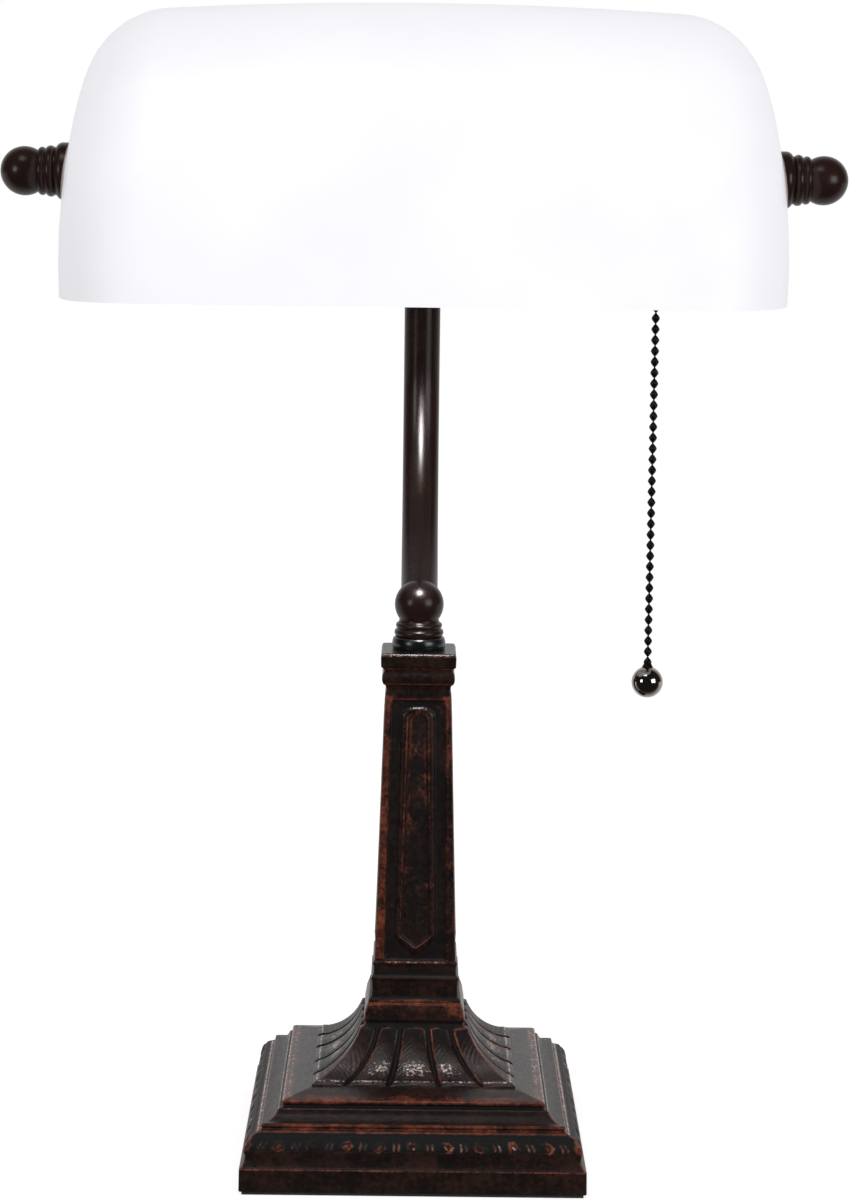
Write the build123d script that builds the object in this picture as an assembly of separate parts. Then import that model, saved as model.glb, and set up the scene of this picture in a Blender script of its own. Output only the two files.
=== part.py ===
from build123d import *
import os
from math import asin, atan, cos, degrees, radians, sin, sqrt, tan

# Desk lamp with a tilting opal glass shade on a gooseneck arm and a cast square stand.
# Millimetres. The origin is the centre of the underside, +Z up, the front faces -Y.

# ---- cast base -------------------------------------------------------------------
FELT_THICK = 1.0
FELT_HALF = 52.2
SLAB_HALF = 53.15
SLAB_TOP = 8.1
PLATEAU_HALF = 40.5
PLATEAU_LIP_Z = 25.8
FOOT_BOTTOM = (30.9, 29.3)
FOOT_MIDDLE = (21.2, 34.9)
FOOT_TOP = (15.5, 47.6)
COLUMN_BOTTOM_Z = 50.0
BASE_WALL = 2.6
COVER_THICK = 1.0
COVER_HALF = 50.8
WEIGHT_HALF = 37.5
WEIGHT_Z = (11.2, 22.8)

# ---- leaf tongues of the foot ------------------------------------------------------
LEAF_EDGES = (-0.67, -0.25, 0.25, 0.67)
LEAF_GAP = 1.1
LEAF_DEPTH = 0.7
LEAF_BOTTOM_Z = 29.6
LEAF_SPRING_Z = 42.2
LEAF_ARCH = 1.6

# ---- cast column -------------------------------------------------------------------
SHAFT_BOTTOM = (12.75, 63.2)
SHAFT_TOP = (10.3, 148.0)
CAPITAL_HALF = 11.7
COLUMN_TOP_Z = 161.0
PANEL_Z = (63.6, 146.0)
PANEL_DEPTH = 0.9
STRIP_DEPTH = 0.7

# ---- stem, ball and gooseneck arm -----------------------------------------------------
PIPE_R = 5.0
PIPE_BORE_R = 4.0
STEM_Z = (3.2, 168.6)
BALL_R = 7.7
BALL_Z = 175.1
ARM_R = 5.0
ARM_BORE_R = 4.0
ARM_LEAN = 55.5
ARM_BACK_Y = 42.0
ARM_TOP_R = 29.0
ARM_END_STRAIGHT = 3.0
ARM_SOCKET_DEPTH = 5.6

# ---- shade pivot and bracket ------------------------------------------------------------
PIVOT_Y = -10.0
PIVOT_Z = 308.3
STRAP_Y = (8.0, 10.0)
STRAP_WIDTH = 12.0
STRAP_THICK = 2.0
EAR_X = (99.8, 101.8)
STUD_R = 3.0
STUD_X = (93.4, 122.0)
RUN_CLEARANCE = 0.05

# ---- threaded nipple of the bracket ----------------------------------------------------------
NIPPLE_R = 3.9
NIPPLE_BORE_R = 2.9

# ---- cord bushing -----------------------------------------------------------------------
BUSHING_R = 3.0
BUSHING_BORE_R = 2.4
BUSHING_Z = 5.05
BUSHING_Y = (48.2, 53.6)

# ---- opal glass shade -------------------------------------------------------------------
GLASS_WALL = 3.4
GLASS_HOLE_R = 6.0
RIM_Z = 271.2
RIM_HALF_DEPTH = 73.0
CROWN_Z = 359.8
CROWN_R = 52.0
CROWN_TURN = 60.0
SIDE_LEAN_AT_RIM = 18.0
TROUGH_R = 1260.0
END_BOW_R = 200.0
END_BOW_Z = 280.0
END_X = 110.2
END_ROUND_R = 27.0

# ---- knobs and seats on the shade's ends ---------------------------------------------------
SEAT_X = 108.0
BUSH_FLANGE = 1.3
COLLAR_R = 8.7
COLLAR_OUT_X = 112.25
KNOB_X = 112.35
KNOB_BALL_R = 7.45
KNOB_BALL_X = 121.6

# ---- lamp socket and bulb ---------------------------------------------------------------------
SOCKET_Y = -28.0
SOCKET_Z = 298.0
TAB_X = (98.3, 99.8)
CAP_NECK_X = 94.5
SHELL_R = 17.5
SHELL_X = (34.0, 80.0)
BULB_R = 26.0
BULB_X = -30.0

# ---- pull chain ----------------------------------------------------------------------------------
CHAIN_X = 69.9
CHAIN_TOP_Z = 276.4
BEAD_R = 1.2
BEAD_PITCH = 3.27
BEAD_COUNT = 35
BEAD_WIRE_R = 0.4
PULL_BALL_R = 4.8
PULL_BALL_Z = 155.9


def line_of(*points):
    """Straight edges through the points."""
    return Polyline(*points)


def ring(outer, inner, low, high):
    """Washer or tube about Z."""
    tall = high - low
    tube = Cylinder(outer, tall, align=(Align.CENTER, Align.CENTER, Align.MIN))
    if inner > 0:
        tube -= Cylinder(inner, tall, align=(Align.CENTER, Align.CENTER, Align.MIN))
    return Pos(0, 0, low) * tube


def turned(outline):
    """Solid of revolution about Z from a closed outline of (radius, height)."""
    return revolve(Plane.XZ * make_face(outline), Axis.Z)


def hex_nut(across_flats, bore, low, high):
    """Plain hexagon nut about Z."""
    body = extrude(RegularPolygon(across_flats / 2, 6, major_radius=False), high - low)
    return Pos(0, 0, low) * body - ring(bore, 0, low, high)


def along_x(solid, y=PIVOT_Y, z=PIVOT_Z):
    """Turn a solid built about Z so that its height runs along +X at the given line."""
    return Pos(0, y, z) * Rot(0, 90, 0) * solid


def square_moulding(outline):
    """Solid of square plan with mitred corners; outline is its right half, (half width, height)."""
    right = make_face(outline)
    side = right + mirror(right, Plane.YZ)
    bar = extrude(Plane.XZ * side, 70, both=True)
    return bar & Rot(0, 0, 90) * bar


def on_four_sides(solid):
    """The solid repeated on the four sides of the square plan."""
    return [Rot(0, 0, 90 * turn) * solid for turn in range(4)]


def foot_circle():
    """Centre and radius of the hollow curve of the foot."""
    (x1, z1), (x2, z2), (x3, z3) = FOOT_BOTTOM, FOOT_MIDDLE, FOOT_TOP
    d = 2 * (x1 * (z2 - z3) + x2 * (z3 - z1) + x3 * (z1 - z2))
    s1 = x1 * x1 + z1 * z1
    s2 = x2 * x2 + z2 * z2
    s3 = x3 * x3 + z3 * z3
    cx = (s1 * (z2 - z3) + s2 * (z3 - z1) + s3 * (z1 - z2)) / d
    cz = (s1 * (x3 - x2) + s2 * (x1 - x3) + s3 * (x2 - x1)) / d
    return cx, cz, sqrt((x1 - cx) ** 2 + (z1 - cz) ** 2)


def foot_half(z):
    """Half width of the foot at a height."""
    cx, cz, radius = foot_circle()
    return cx - sqrt(radius ** 2 - (z - cz) ** 2)


def foot_edges(inset):
    """Hollow curve of the foot up to the column, moved in by the inset."""
    low, mid, top = [(x - inset, z) for x, z in (FOOT_BOTTOM, FOOT_MIDDLE, FOOT_TOP)]
    curve = ThreePointArc(low, mid, top)
    return curve, top


def base_outline():
    """Right half of the base: slab, cove, ovolo, ridge, fascia, plateau and hollow foot."""
    bottom = FELT_THICK
    curve, foot_top = foot_edges(0)
    edges = Curve() + line_of((0, bottom), (SLAB_HALF, bottom), (SLAB_HALF - 0.1, SLAB_TOP), (52.5, 8.5))
    edges += ThreePointArc((52.5, 8.5), (51.45, 11.0), (51.7, 14.0))
    edges += ThreePointArc((51.7, 14.0), (50.6, 17.0), (47.6, 18.6))
    edges += line_of((47.6, 18.6), (46.3, 19.2), (46.8, 19.9), (46.3, 20.9))
    edges += ThreePointArc((46.3, 20.9), (43.2, 21.9), (41.5, 23.9))
    edges += line_of((41.5, 23.9), (40.9, 24.2), (PLATEAU_HALF + 0.3, 25.1), (PLATEAU_HALF, PLATEAU_LIP_Z))
    edges += line_of((PLATEAU_HALF, PLATEAU_LIP_Z), (31.6, 28.0), FOOT_BOTTOM)
    edges += curve
    edges += line_of(foot_top, (14.6, COLUMN_BOTTOM_Z), (0, COLUMN_BOTTOM_Z), (0, bottom))
    return edges


def base_hollow():
    """Right half of the room inside the base, open below, with a ledge for the cover."""
    cover_top = FELT_THICK + COVER_THICK
    return line_of(
        (0, FELT_THICK), (COVER_HALF + 0.1, FELT_THICK), (COVER_HALF + 0.1, cover_top),
        (SLAB_HALF - 3.2, cover_top), (SLAB_HALF - 3.2, SLAB_TOP + 2.4), (38.0, 17.0),
        (38.0, WEIGHT_Z[1]), (26.0, WEIGHT_Z[1]), (20.0, 30.0), (14.6, 37.0), (11.6, 46.0),
        (0, 46.0), (0, FELT_THICK))


def leaf(left, right):
    """One leaf tongue, from its foot to its arched top, between two fractions of the width."""
    half_gap = LEAF_GAP / 2
    heights = (LEAF_BOTTOM_Z - 2, (LEAF_BOTTOM_Z + LEAF_SPRING_Z) / 2 - 2.5, LEAF_SPRING_Z)
    left_side = [(left * foot_half(max(z, FOOT_BOTTOM[1])) + half_gap, z) for z in heights]
    right_side = [(right * foot_half(max(z, FOOT_BOTTOM[1])) - half_gap, z) for z in heights]
    crown = ((left_side[2][0] + right_side[2][0]) / 2, LEAF_SPRING_Z + LEAF_ARCH)
    edges = Curve() + ThreePointArc(*left_side)
    edges += ThreePointArc(left_side[2], crown, right_side[2])
    edges += ThreePointArc(*reversed(right_side))
    edges += Line(right_side[0], left_side[0])
    return make_face(edges)


def leaf_grooves():
    """Grooves between the leaf tongues of one side, cut to an even depth below the foot."""
    low = LEAF_BOTTOM_Z
    top = LEAF_SPRING_Z + LEAF_ARCH + 0.9
    reach = 0.93
    left = [(-reach * foot_half(z), z) for z in (low, (low + top) / 2 - 2.5, top)]
    right = [(-x, z) for x, z in reversed(left)]
    edges = Curve() + ThreePointArc(*left) + Line(left[2], right[0])
    edges += ThreePointArc(*right)
    edges += Line(right[2], left[0])
    field = make_face(edges)
    bounds = (-1.12,) + LEAF_EDGES + (1.12,)
    for start, stop in zip(bounds, bounds[1:]):
        field -= leaf(start, stop)
    curve, foot_top = foot_edges(LEAF_DEPTH)
    start = (FOOT_BOTTOM[0] - LEAF_DEPTH, FOOT_BOTTOM[1])
    core_edges = Curve() + line_of(foot_top, (0, foot_top[1]), (0, 20), (start[0], 20), start) + curve
    core = square_moulding(core_edges)
    return extrude(Plane.XZ * field, 60) - core


def make_base_casting():
    """Hollow cast base with the leaf-grooved foot and the holes for stem and cord."""
    body = square_moulding(base_outline()) - square_moulding(base_hollow())
    body -= ring(PIPE_R + 0.2, 0, 40, 60)
    for cutter in on_four_sides(leaf_grooves()):
        body -= cutter
    body -= Pos(0, SLAB_HALF - 1, BUSHING_Z) * Rot(90, 0, 0) * Cylinder(BUSHING_R, 12)
    return body


def make_cord_bushing():
    """Plain insulating bushing pressed through the rear wall of the slab."""
    tube = ring(BUSHING_R, BUSHING_BORE_R, BUSHING_Y[0], BUSHING_Y[1])
    return Pos(0, 0, BUSHING_Z) * Rot(-90, 0, 0) * tube


def column_outline():
    """Right half of the column: ridge, bands, tapering shaft, neck, torus and capital."""
    edges = Curve() + line_of(
        (0, COLUMN_BOTTOM_Z), (14.6, COLUMN_BOTTOM_Z), (14.5, 51.0), (13.6, 51.5), (13.5, 57.0),
        (13.9, 57.5), (13.4, 58.2), (13.0, 61.6), (13.35, 62.2), SHAFT_BOTTOM, SHAFT_TOP, (10.15, 149.6))
    edges += ThreePointArc((10.15, 149.6), (10.35, 150.7), (10.9, 151.2))
    edges += ThreePointArc((10.9, 151.2), (11.35, 153.1), (10.8, 155.0))
    edges += line_of((10.8, 155.0), (11.0, 155.9), (CAPITAL_HALF, 156.6), (CAPITAL_HALF + 0.1, 159.9))
    edges += ThreePointArc((CAPITAL_HALF + 0.1, 159.9), (11.5, 160.7), (10.8, COLUMN_TOP_Z))
    edges += line_of((10.8, COLUMN_TOP_Z), (0, COLUMN_TOP_Z), (0, COLUMN_BOTTOM_Z))
    return edges


def panel_shape(top_half, bottom_half, arch, spring, shoulder, point):
    """Long panel with an arched top and a pointed bottom; heights are measured up the face."""
    edges = Curve() + ThreePointArc((top_half, spring), (0, arch), (-top_half, spring))
    edges += line_of((-top_half, spring), (-bottom_half, shoulder), (0, point),
                     (bottom_half, shoulder), (top_half, spring))
    return make_face(edges)


def panel_cutter():
    """Sunk field and inner strip of one face of the shaft; the raised moulding stays between."""
    lean = degrees(atan((SHAFT_BOTTOM[0] - SHAFT_TOP[0]) / (SHAFT_TOP[1] - SHAFT_BOTTOM[1])))
    face = Plane((0, -SHAFT_BOTTOM[0], SHAFT_BOTTOM[1]), x_dir=(1, 0, 0),
                 z_dir=(0, -cos(radians(lean)), sin(radians(lean))))
    low, high = [z - SHAFT_BOTTOM[1] for z in PANEL_Z]
    field = make_face(line_of((-9.7, low), (9.7, low), (8.5, high), (-8.5, high), (-9.7, low)))
    moulding = panel_shape(5.3, 6.6, high - 1.6, high - 5.0, low + 7.6, low + 1.9)
    strip = panel_shape(2.7, 4.3, high - 4.0, high - 5.8, low + 8.0, low + 4.2)
    sunk = extrude(face * (field - moulding), PANEL_DEPTH, both=True)
    return sunk + extrude(face * strip, STRIP_DEPTH, both=True)


def make_column_casting():
    """Tapering hollow square column with a panel on each face and a square capital."""
    body = square_moulding(column_outline())
    floor = COLUMN_BOTTOM_Z
    hollow = line_of((0, floor), (8.8, floor), (6.6, 148), (0, 148), (0, floor))
    body -= square_moulding(hollow)
    body -= ring(PIPE_R + 0.2, 0, 140, 165)
    for cutter in on_four_sides(panel_cutter()):
        body -= cutter
    return body


def make_stand_inside():
    """Clamping pieces, weight, cover and felt inside and under the base."""
    bore = PIPE_R + 0.1
    weight = Box(2 * WEIGHT_HALF, 2 * WEIGHT_HALF, WEIGHT_Z[1] - WEIGHT_Z[0],
                 align=(Align.CENTER, Align.CENTER, Align.MIN))
    weight = Pos(0, 0, WEIGHT_Z[0]) * weight - ring(bore + 0.3, 0, 0, 40)
    weight -= Pos(0, WEIGHT_HALF, 17) * Box(14, 12, 14)
    weight = chamfer(weight.edges().filter_by(Axis.Z).group_by(Axis.X)[0], 4)
    washer_z = WEIGHT_Z[0] - 1.6
    lock_z = washer_z - 1.2
    nut_z = lock_z - 4.2
    cover = Box(2 * COVER_HALF, 2 * COVER_HALF, COVER_THICK, align=(Align.CENTER, Align.CENTER, Align.MIN))
    felt = Box(2 * FELT_HALF, 2 * FELT_HALF, FELT_THICK, align=(Align.CENTER, Align.CENTER, Align.MIN))
    lock = ring(8.4, bore, lock_z, washer_z) - Pos(7, 0, washer_z) * Box(6, 1.2, 6)
    return {
        "weight_plate": weight,
        "stem_washer": ring(14.0, bore, washer_z, WEIGHT_Z[0]),
        "stem_lock_washer": lock,
        "stem_nut": hex_nut(17.0, bore, nut_z, lock_z),
        "bottom_cover": Pos(0, 0, FELT_THICK) * cover,
        "felt_pad": felt,
        "stem_pipe": ring(PIPE_R, PIPE_BORE_R, STEM_Z[0], STEM_Z[1]),
    }


def ball_and_rings(seat, ring_low, ring_high, neck, centre, radius):
    """Turned outline of a ball on a neck and two rings; heights are along the turning axis."""
    neck_r = 6.25
    join = centre - sqrt(radius ** 2 - neck_r ** 2)
    edges = Curve() + line_of((0, seat), (7.2, seat), (7.2, seat + 0.1))
    edges += ThreePointArc((7.2, seat + 0.1), (7.75, (seat + ring_low) / 2), (7.2, ring_low))
    edges += line_of((7.2, ring_low), (6.9, ring_low + 0.25))
    edges += ThreePointArc((6.9, ring_low + 0.25), (7.3, (ring_low + ring_high) / 2 + 0.1), (6.8, ring_high))
    edges += line_of((6.8, ring_high), (neck_r, neck), (neck_r, join))
    edges += ThreePointArc((neck_r, join), (radius, centre), (0, centre + radius))
    edges += Line((0, centre + radius), (0, seat))
    return edges


def make_seat_collar():
    """Turned collar between the column and the ball."""
    edges = Curve() + line_of((PIPE_R + 0.1, COLUMN_TOP_Z), (8.1, COLUMN_TOP_Z), (8.1, 161.6))
    edges += ThreePointArc((8.1, 161.6), (8.4, 163.2), (8.1, 164.6))
    edges += line_of((8.1, 164.6), (7.4, 165.0), (PIPE_R + 0.1, 165.0), (PIPE_R + 0.1, COLUMN_TOP_Z))
    return turned(edges)


def arm_direction():
    """Direction in which the arm leaves the ball, backwards and up."""
    return 0.0, sin(radians(ARM_LEAN)), cos(radians(ARM_LEAN))


def arm_socket():
    """Cylinder along the arm's first stretch, from inside the ball outwards."""
    seat = Plane((0, 0, BALL_Z), x_dir=(1, 0, 0), z_dir=arm_direction())
    return seat.offset(BALL_R - ARM_SOCKET_DEPTH) * Cylinder(
        ARM_R, 14, align=(Align.CENTER, Align.CENTER, Align.MIN))


def make_arm_ball():
    """Ball finial that screws on the stem and holds the arm in a slanting hole."""
    body = turned(ball_and_rings(165.0, 167.5, 169.4, 169.9, BALL_Z, BALL_R))
    return body - ring(PIPE_R + 0.02, 0, 160, STEM_Z[1]) - arm_socket()


def arm_path():
    """Centre line of the arm: out of the ball, a wide bow back and up, then over to the front."""
    dy, dz = arm_direction()[1:]
    start_reach = BALL_R - ARM_SOCKET_DEPTH
    bow_reach = BALL_R + 1.3
    start = (0, dy * start_reach, BALL_Z + dz * start_reach)
    bow_start = (0, dy * bow_reach, BALL_Z + dz * bow_reach)
    bow_r = (ARM_BACK_Y - bow_start[1]) / (1 - cos(radians(ARM_LEAN)))
    bow_end = (0, ARM_BACK_Y, bow_start[2] + bow_r * sin(radians(ARM_LEAN)))
    half = radians(ARM_LEAN / 2)
    bow_mid = (0, ARM_BACK_Y - bow_r * (1 - cos(half)), bow_end[2] - bow_r * sin(half))
    top_z = PIVOT_Z - ARM_TOP_R
    top_y = ARM_BACK_Y - ARM_TOP_R
    slant = sqrt(0.5)
    top_end = (0, top_y - ARM_END_STRAIGHT, PIVOT_Z)
    top_mid = (0, top_y + ARM_TOP_R * slant, top_z + ARM_TOP_R * slant)
    path = Curve() + Line(start, bow_start) + ThreePointArc(bow_start, bow_mid, bow_end)
    path += Line(bow_end, (0, ARM_BACK_Y, top_z))
    path += ThreePointArc((0, ARM_BACK_Y, top_z), top_mid, (0, top_y, PIVOT_Z))
    path += Line((0, top_y, PIVOT_Z), top_end)
    return path, Plane(start, x_dir=(1, 0, 0), z_dir=arm_direction())


def make_gooseneck_arm():
    """Bent steel tube from the ball to the bracket."""
    path, start = arm_path()
    return sweep(start * (Circle(ARM_R) - Circle(ARM_BORE_R)), path)


def make_shade_bracket():
    """Flat steel strap bent to a U, with a rounded ear at each end for the shade's studs."""
    bend = 5.0
    back = STRAP_Y[1]
    ear = EAR_X[1]
    outer = make_face(line_of((-ear, PIVOT_Y - 8), (ear, PIVOT_Y - 8), (ear, back), (-ear, back),
                              (-ear, PIVOT_Y - 8)))
    inner_x = EAR_X[0]
    inner = make_face(line_of((-inner_x, PIVOT_Y - 9), (inner_x, PIVOT_Y - 9), (inner_x, STRAP_Y[0]),
                              (-inner_x, STRAP_Y[0]), (-inner_x, PIVOT_Y - 9)))
    outer = fillet(outer.vertices().group_by(Axis.Y)[-1], bend)
    inner = fillet(inner.vertices().group_by(Axis.Y)[-1], bend - STRAP_THICK)
    strap = extrude(outer - inner, STRAP_WIDTH / 2, both=True)
    strap = Pos(0, 0, PIVOT_Z) * strap
    half = STRAP_WIDTH / 2
    side = Pos(PIVOT_Y, 0) * Circle(half)
    side += Pos((PIVOT_Y + back) / 2, 0) * Rectangle(back - PIVOT_Y, STRAP_WIDTH)
    strap &= Pos(0, 0, PIVOT_Z) * extrude(Plane.YZ * side, 130, both=True)
    strap -= along_x(Cylinder(STUD_R, 260))
    return strap - Pos(0, 9, PIVOT_Z) * Rot(90, 0, 0) * Cylinder(NIPPLE_R, 10)


def make_arm_end():
    """Nipple, washer and nut that clamp the strap to the arm's end."""
    front = STRAP_Y[0]
    nipple_end = STRAP_Y[1] + ARM_END_STRAIGHT - 0.3
    turn = Pos(0, 0, PIVOT_Z) * Rot(-90, 0, 0)
    return {
        "bracket_nipple": turn * ring(NIPPLE_R, NIPPLE_BORE_R, front - 6.4, nipple_end),
        "bracket_washer": turn * ring(7.0, NIPPLE_R, front - 1.2, front),
        "bracket_nut": turn * hex_nut(13.0, NIPPLE_R, front - 5.2, front - 1.2),
    }


def glass_arch(inset):
    """Cross-section of the hood: a round crown running tangent into two leaning sides."""
    crown_r = CROWN_R - inset
    centre_z = CROWN_Z - CROWN_R
    turn = radians(CROWN_TURN)
    shoulder = (crown_r * sin(turn), centre_z + crown_r * cos(turn))
    lean = radians((90 - CROWN_TURN + SIDE_LEAN_AT_RIM) / 2)
    rim_y = RIM_HALF_DEPTH - inset / cos(radians(SIDE_LEAN_AT_RIM))
    low = RIM_Z - 12
    side_end = (rim_y + (RIM_Z - low) * tan(radians(SIDE_LEAN_AT_RIM)), low)
    chord = sqrt((side_end[0] - shoulder[0]) ** 2 + (side_end[1] - shoulder[1]) ** 2)
    bulge = chord / 2 * tan(lean / 2 - radians(SIDE_LEAN_AT_RIM) / 2)
    middle = ((shoulder[0] + side_end[0]) / 2 + bulge * cos(lean),
              (shoulder[1] + side_end[1]) / 2 + bulge * sin(lean))
    mirrored = [(-y, z) for y, z in (shoulder, middle, side_end)]
    edges = Curve() + ThreePointArc(shoulder, (0, centre_z + crown_r), mirrored[0])
    edges += ThreePointArc(*mirrored)
    edges += Line(mirrored[2], side_end)
    edges += ThreePointArc(side_end, middle, shoulder)
    return make_face(edges)


def end_lean():
    """Angle by which the bowed end wall leans inwards at the pivot line."""
    return asin((PIVOT_Z - END_BOW_Z) / END_BOW_R)


def glass_body(inset):
    """Trough of the arch, slightly crowned along its length, with bowed ends well rounded off."""
    sweep_half = degrees(asin(125 / TROUGH_R))
    axis = Axis((0, 0, CROWN_Z - TROUGH_R), (0, 1, 0))
    arch = Plane((0, PIVOT_Y, 0), x_dir=(0, 1, 0), z_dir=(1, 0, 0)) * glass_arch(inset)
    trough = revolve(arch.rotate(axis, -sweep_half), axis, 2 * sweep_half)
    bow = Rot(0, 0, 90) * Sphere(END_BOW_R - inset)
    centre = END_X - END_BOW_R
    body = trough & Pos(centre, PIVOT_Y, END_BOW_Z) * bow & Pos(-centre, PIVOT_Y, END_BOW_Z) * bow
    corners = [edge for edge in body.edges() if abs(edge.center().X) > 60 and edge.center().Z > RIM_Z - 5]
    body = fillet(corners, END_ROUND_R - inset)
    return body & Pos(0, 0, RIM_Z) * Box(260, 200, 120, align=(Align.CENTER, Align.CENTER, Align.MIN))


def beyond_seat(x):
    """Everything outside the plane that leans with the glass end wall and meets the pivot line at x."""
    plane = Plane((x, PIVOT_Y, PIVOT_Z), x_dir=(0, 1, 0), z_dir=(cos(end_lean()), 0, sin(end_lean())))
    return plane * Box(60, 60, 60, align=(Align.CENTER, Align.CENTER, Align.MIN))


def make_shade_glass():
    """Opal glass hood, open below, with a hole and a flat seat at each end."""
    body = glass_body(0) - glass_body(GLASS_WALL)
    for side in (1, -1):
        hole = along_x(ring(GLASS_HOLE_R, 0, 95, 120))
        seat = along_x(ring(COLLAR_R + 0.3, 0, 100, 120)) & beyond_seat(SEAT_X)
        inner = along_x(ring(COLLAR_R, 0, 96, 120)) - beyond_seat(SEAT_X - GLASS_WALL)
        if side < 0:
            hole, seat, inner = [mirror(piece, Plane.YZ) for piece in (hole, seat, inner)]
        body = body - hole - seat - inner
    return body


def make_right_end():
    """Stud, nuts, bush, washers, bevelled collar and knob at the right end of the pivot line."""
    run = STUD_R + RUN_CLEARANCE
    seat = SEAT_X
    inner_seat = SEAT_X - GLASS_WALL
    flange = along_x(ring(COLLAR_R - 0.5, run, 100, 120)) & beyond_seat(seat)
    flange -= beyond_seat(seat + BUSH_FLANGE)
    hub = along_x(ring(GLASS_HOLE_R - 0.1, run, EAR_X[1] + 0.8, 111)) - beyond_seat(seat + 0.1)
    small_r = COLLAR_R - 1.4
    bell = Curve() + line_of((run, 100), (COLLAR_R, 100), (COLLAR_R, COLLAR_OUT_X - 2.6))
    bell += ThreePointArc((COLLAR_R, COLLAR_OUT_X - 2.6), (COLLAR_R - 0.35, COLLAR_OUT_X - 1.2),
                          (small_r, COLLAR_OUT_X - 0.3))
    bell += line_of((small_r, COLLAR_OUT_X - 0.3), (small_r, COLLAR_OUT_X), (run, COLLAR_OUT_X), (run, 100))
    collar = along_x(turned(bell)) & beyond_seat(seat + BUSH_FLANGE)
    washer = along_x(ring(COLLAR_R - 1, GLASS_HOLE_R + 0.1, EAR_X[1] + 0.7, 120)) - beyond_seat(inner_seat)
    knob = turned(ball_and_rings(KNOB_X, 115.1, 117.4, 117.9, KNOB_BALL_X, KNOB_BALL_R))
    knob = along_x(knob - ring(run, 0, 110, STUD_X[1] + 0.4))
    return {
        "stud": along_x(ring(STUD_R, 0, STUD_X[0], STUD_X[1])),
        "glass_bush": flange + hub,
        "bevel_collar": collar,
        "inner_washer": washer,
        "knob": knob,
    }


def make_ends():
    """Both ends of the pivot line; only the nuts differ, because the right ear carries the socket."""
    nodes = {}
    right = make_right_end()
    for name, solid in right.items():
        nodes["right_" + name] = solid
        nodes["left_" + name] = mirror(solid, Plane.YZ)
    nodes["right_stud_nut"] = along_x(hex_nut(10.0, STUD_R, TAB_X[0] - 3.6, TAB_X[0]))
    nodes["left_stud_nut"] = mirror(along_x(hex_nut(10.0, STUD_R, EAR_X[0] - 3.6, EAR_X[0])), Plane.YZ)
    return nodes


def socket_tab():
    """Flat link from the right stud to the socket's nipple."""
    drop = PIVOT_Z - SOCKET_Z
    reach = PIVOT_Y - SOCKET_Y
    turn = degrees(atan(drop / reach))
    length = sqrt(drop ** 2 + reach ** 2)
    middle = Pos((PIVOT_Y + SOCKET_Y) / 2, (PIVOT_Z + SOCKET_Z) / 2)
    plate = middle * Rot(0, 0, turn) * SlotCenterToCenter(length, 13.0)
    plate -= Pos(PIVOT_Y, PIVOT_Z) * Circle(STUD_R)
    plate -= Pos(SOCKET_Y, SOCKET_Z) * Circle(PIPE_R)
    return extrude(Plane((TAB_X[0], 0, 0), x_dir=(0, 1, 0), z_dir=(1, 0, 0)) * plate, TAB_X[1] - TAB_X[0])


def at_socket(solid):
    """Place a piece that was turned about Z on the socket's line, its height along +X."""
    return along_x(solid, SOCKET_Y, SOCKET_Z)


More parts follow.
